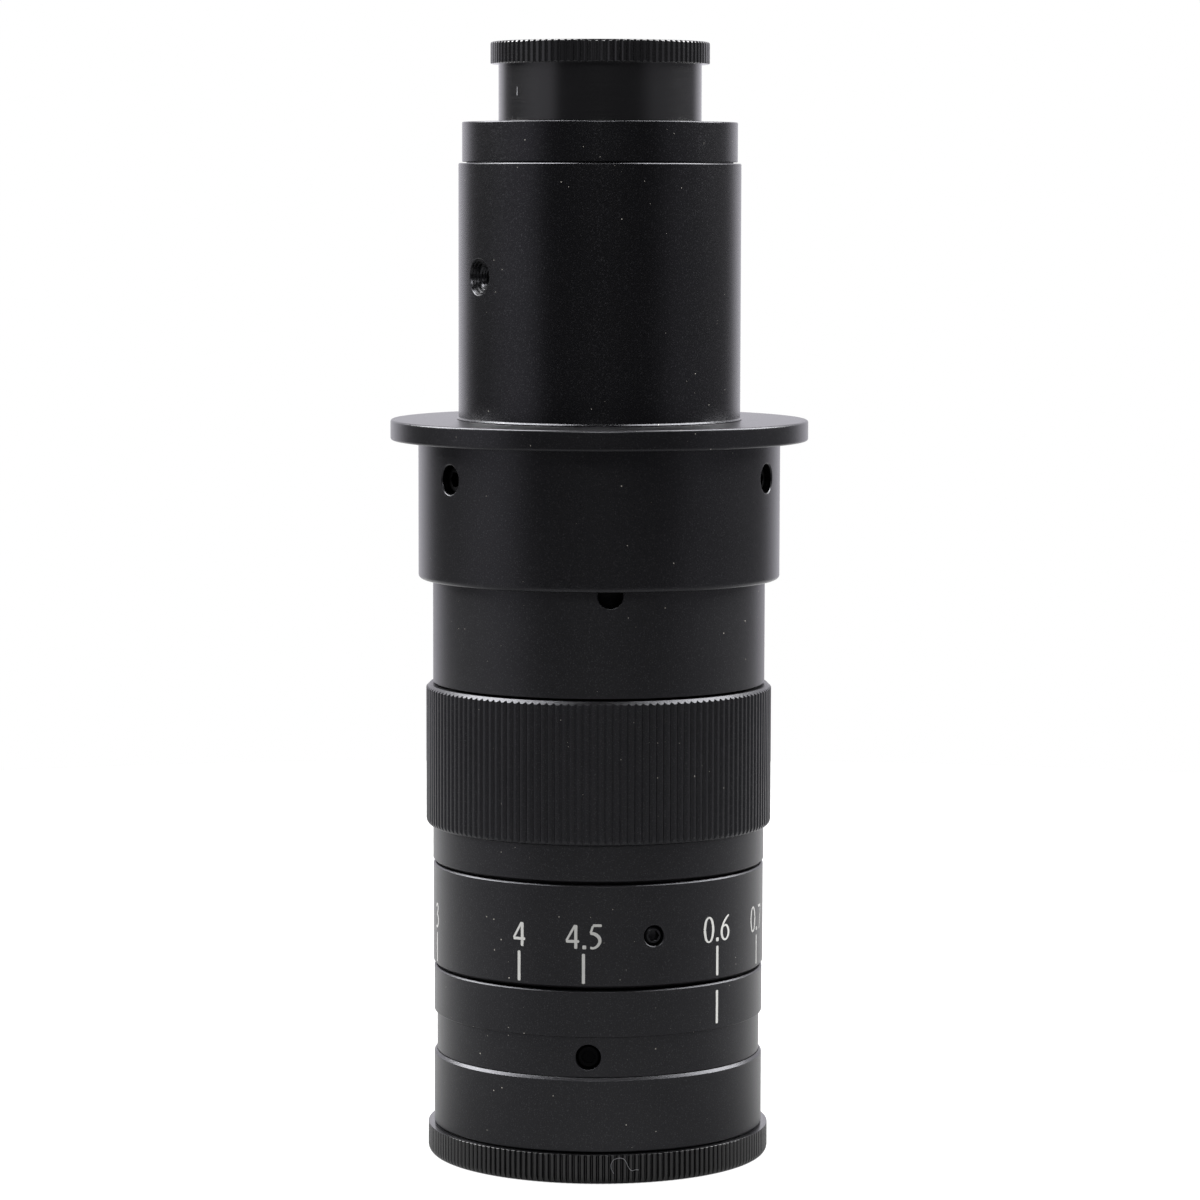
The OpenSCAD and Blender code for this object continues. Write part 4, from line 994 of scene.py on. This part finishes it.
def makeTable(d):
    # a round sheet of paper: one face whose corners lie on a circle
    sides = d["tableSides"]
    angles = np.linspace(0, 2 * math.pi, sides + 1)[:-1]
    mesh = bpy.data.meshes.new("table")
    ring = np.stack([np.cos(angles), np.sin(angles), 0 * angles], axis=-1) * d["tableR"]
    mesh.from_pydata(ring.tolist(), [], [list(range(sides))])
    material = bpy.data.materials.new("tablePaper")
    material.use_nodes = True
    tree = material.node_tree
    tree.nodes.clear()
    ray = addNode(tree, "ShaderNodeLightPath")
    paper = addNode(tree, "ShaderNodeBsdfDiffuse", {"Color": (d["paper"], d["paper"], d["paper"], 1)})
    # the camera sees lit white paper; in reflections only its back and the part near the foot glow
    spot = addNode(tree, "ShaderNodeTexCoord").outputs["Object"]
    depth = addNode(tree, "ShaderNodeSeparateXYZ", {"Vector": spot})
    back = addNode(tree, "ShaderNodeMapRange", {"Value": depth.outputs["Y"],
                                                "From Min": d["backFrom"], "From Max": d["backTo"],
                                                "To Max": d["backGlow"]})
    away = addNode(tree, "ShaderNodeVectorMath", {0: spot}, operation="LENGTH")
    near = addNode(tree, "ShaderNodeMapRange", {"Value": away.outputs["Value"],
                                                "From Min": d["nearFrom"], "From Max": d["nearTo"],
                                                "To Min": d["nearGlow"], "To Max": 0.0})
    pool = addNode(tree, "ShaderNodeMath", {0: back.outputs[0], 1: near.outputs[0]},
                   operation="MAXIMUM")
    glow = addNode(tree, "ShaderNodeMix", {"Factor": ray.outputs["Is Camera Ray"], 2: pool.outputs[0],
                                           3: d["glow"]})
    lit = addNode(tree, "ShaderNodeEmission", {"Color": (1, 1, 1, 1), "Strength": glow.outputs[0]})
    both = addNode(tree, "ShaderNodeAddShader", {0: paper.outputs[0], 1: lit.outputs[0]})
    addNode(tree, "ShaderNodeOutputMaterial", {"Surface": both.outputs[0]})
    mesh.materials.append(material)
    table = bpy.data.objects.new("table", mesh)
    bpy.context.scene.collection.objects.link(table)


def makeSoftboxes(d):
    # each box faces the aim
    for place, size, power in d["boxes"]:
        data = bpy.data.lights.new("softbox", "AREA")
        data.shape = "RECTANGLE"
        data.size, data.size_y = size
        data.energy = power
        box = bpy.data.objects.new("softbox", data)
        box.location = place
        away = Vector(place) - Vector(d["aim"])
        box.rotation_euler = away.to_track_quat("Z", "Y").to_euler()
        bpy.context.scene.collection.objects.link(box)


makeWorld(studio)
makeTable(studio)
makeSoftboxes(studio)
bpy.context.scene.view_settings.view_transform = "Standard"
print("studio made")
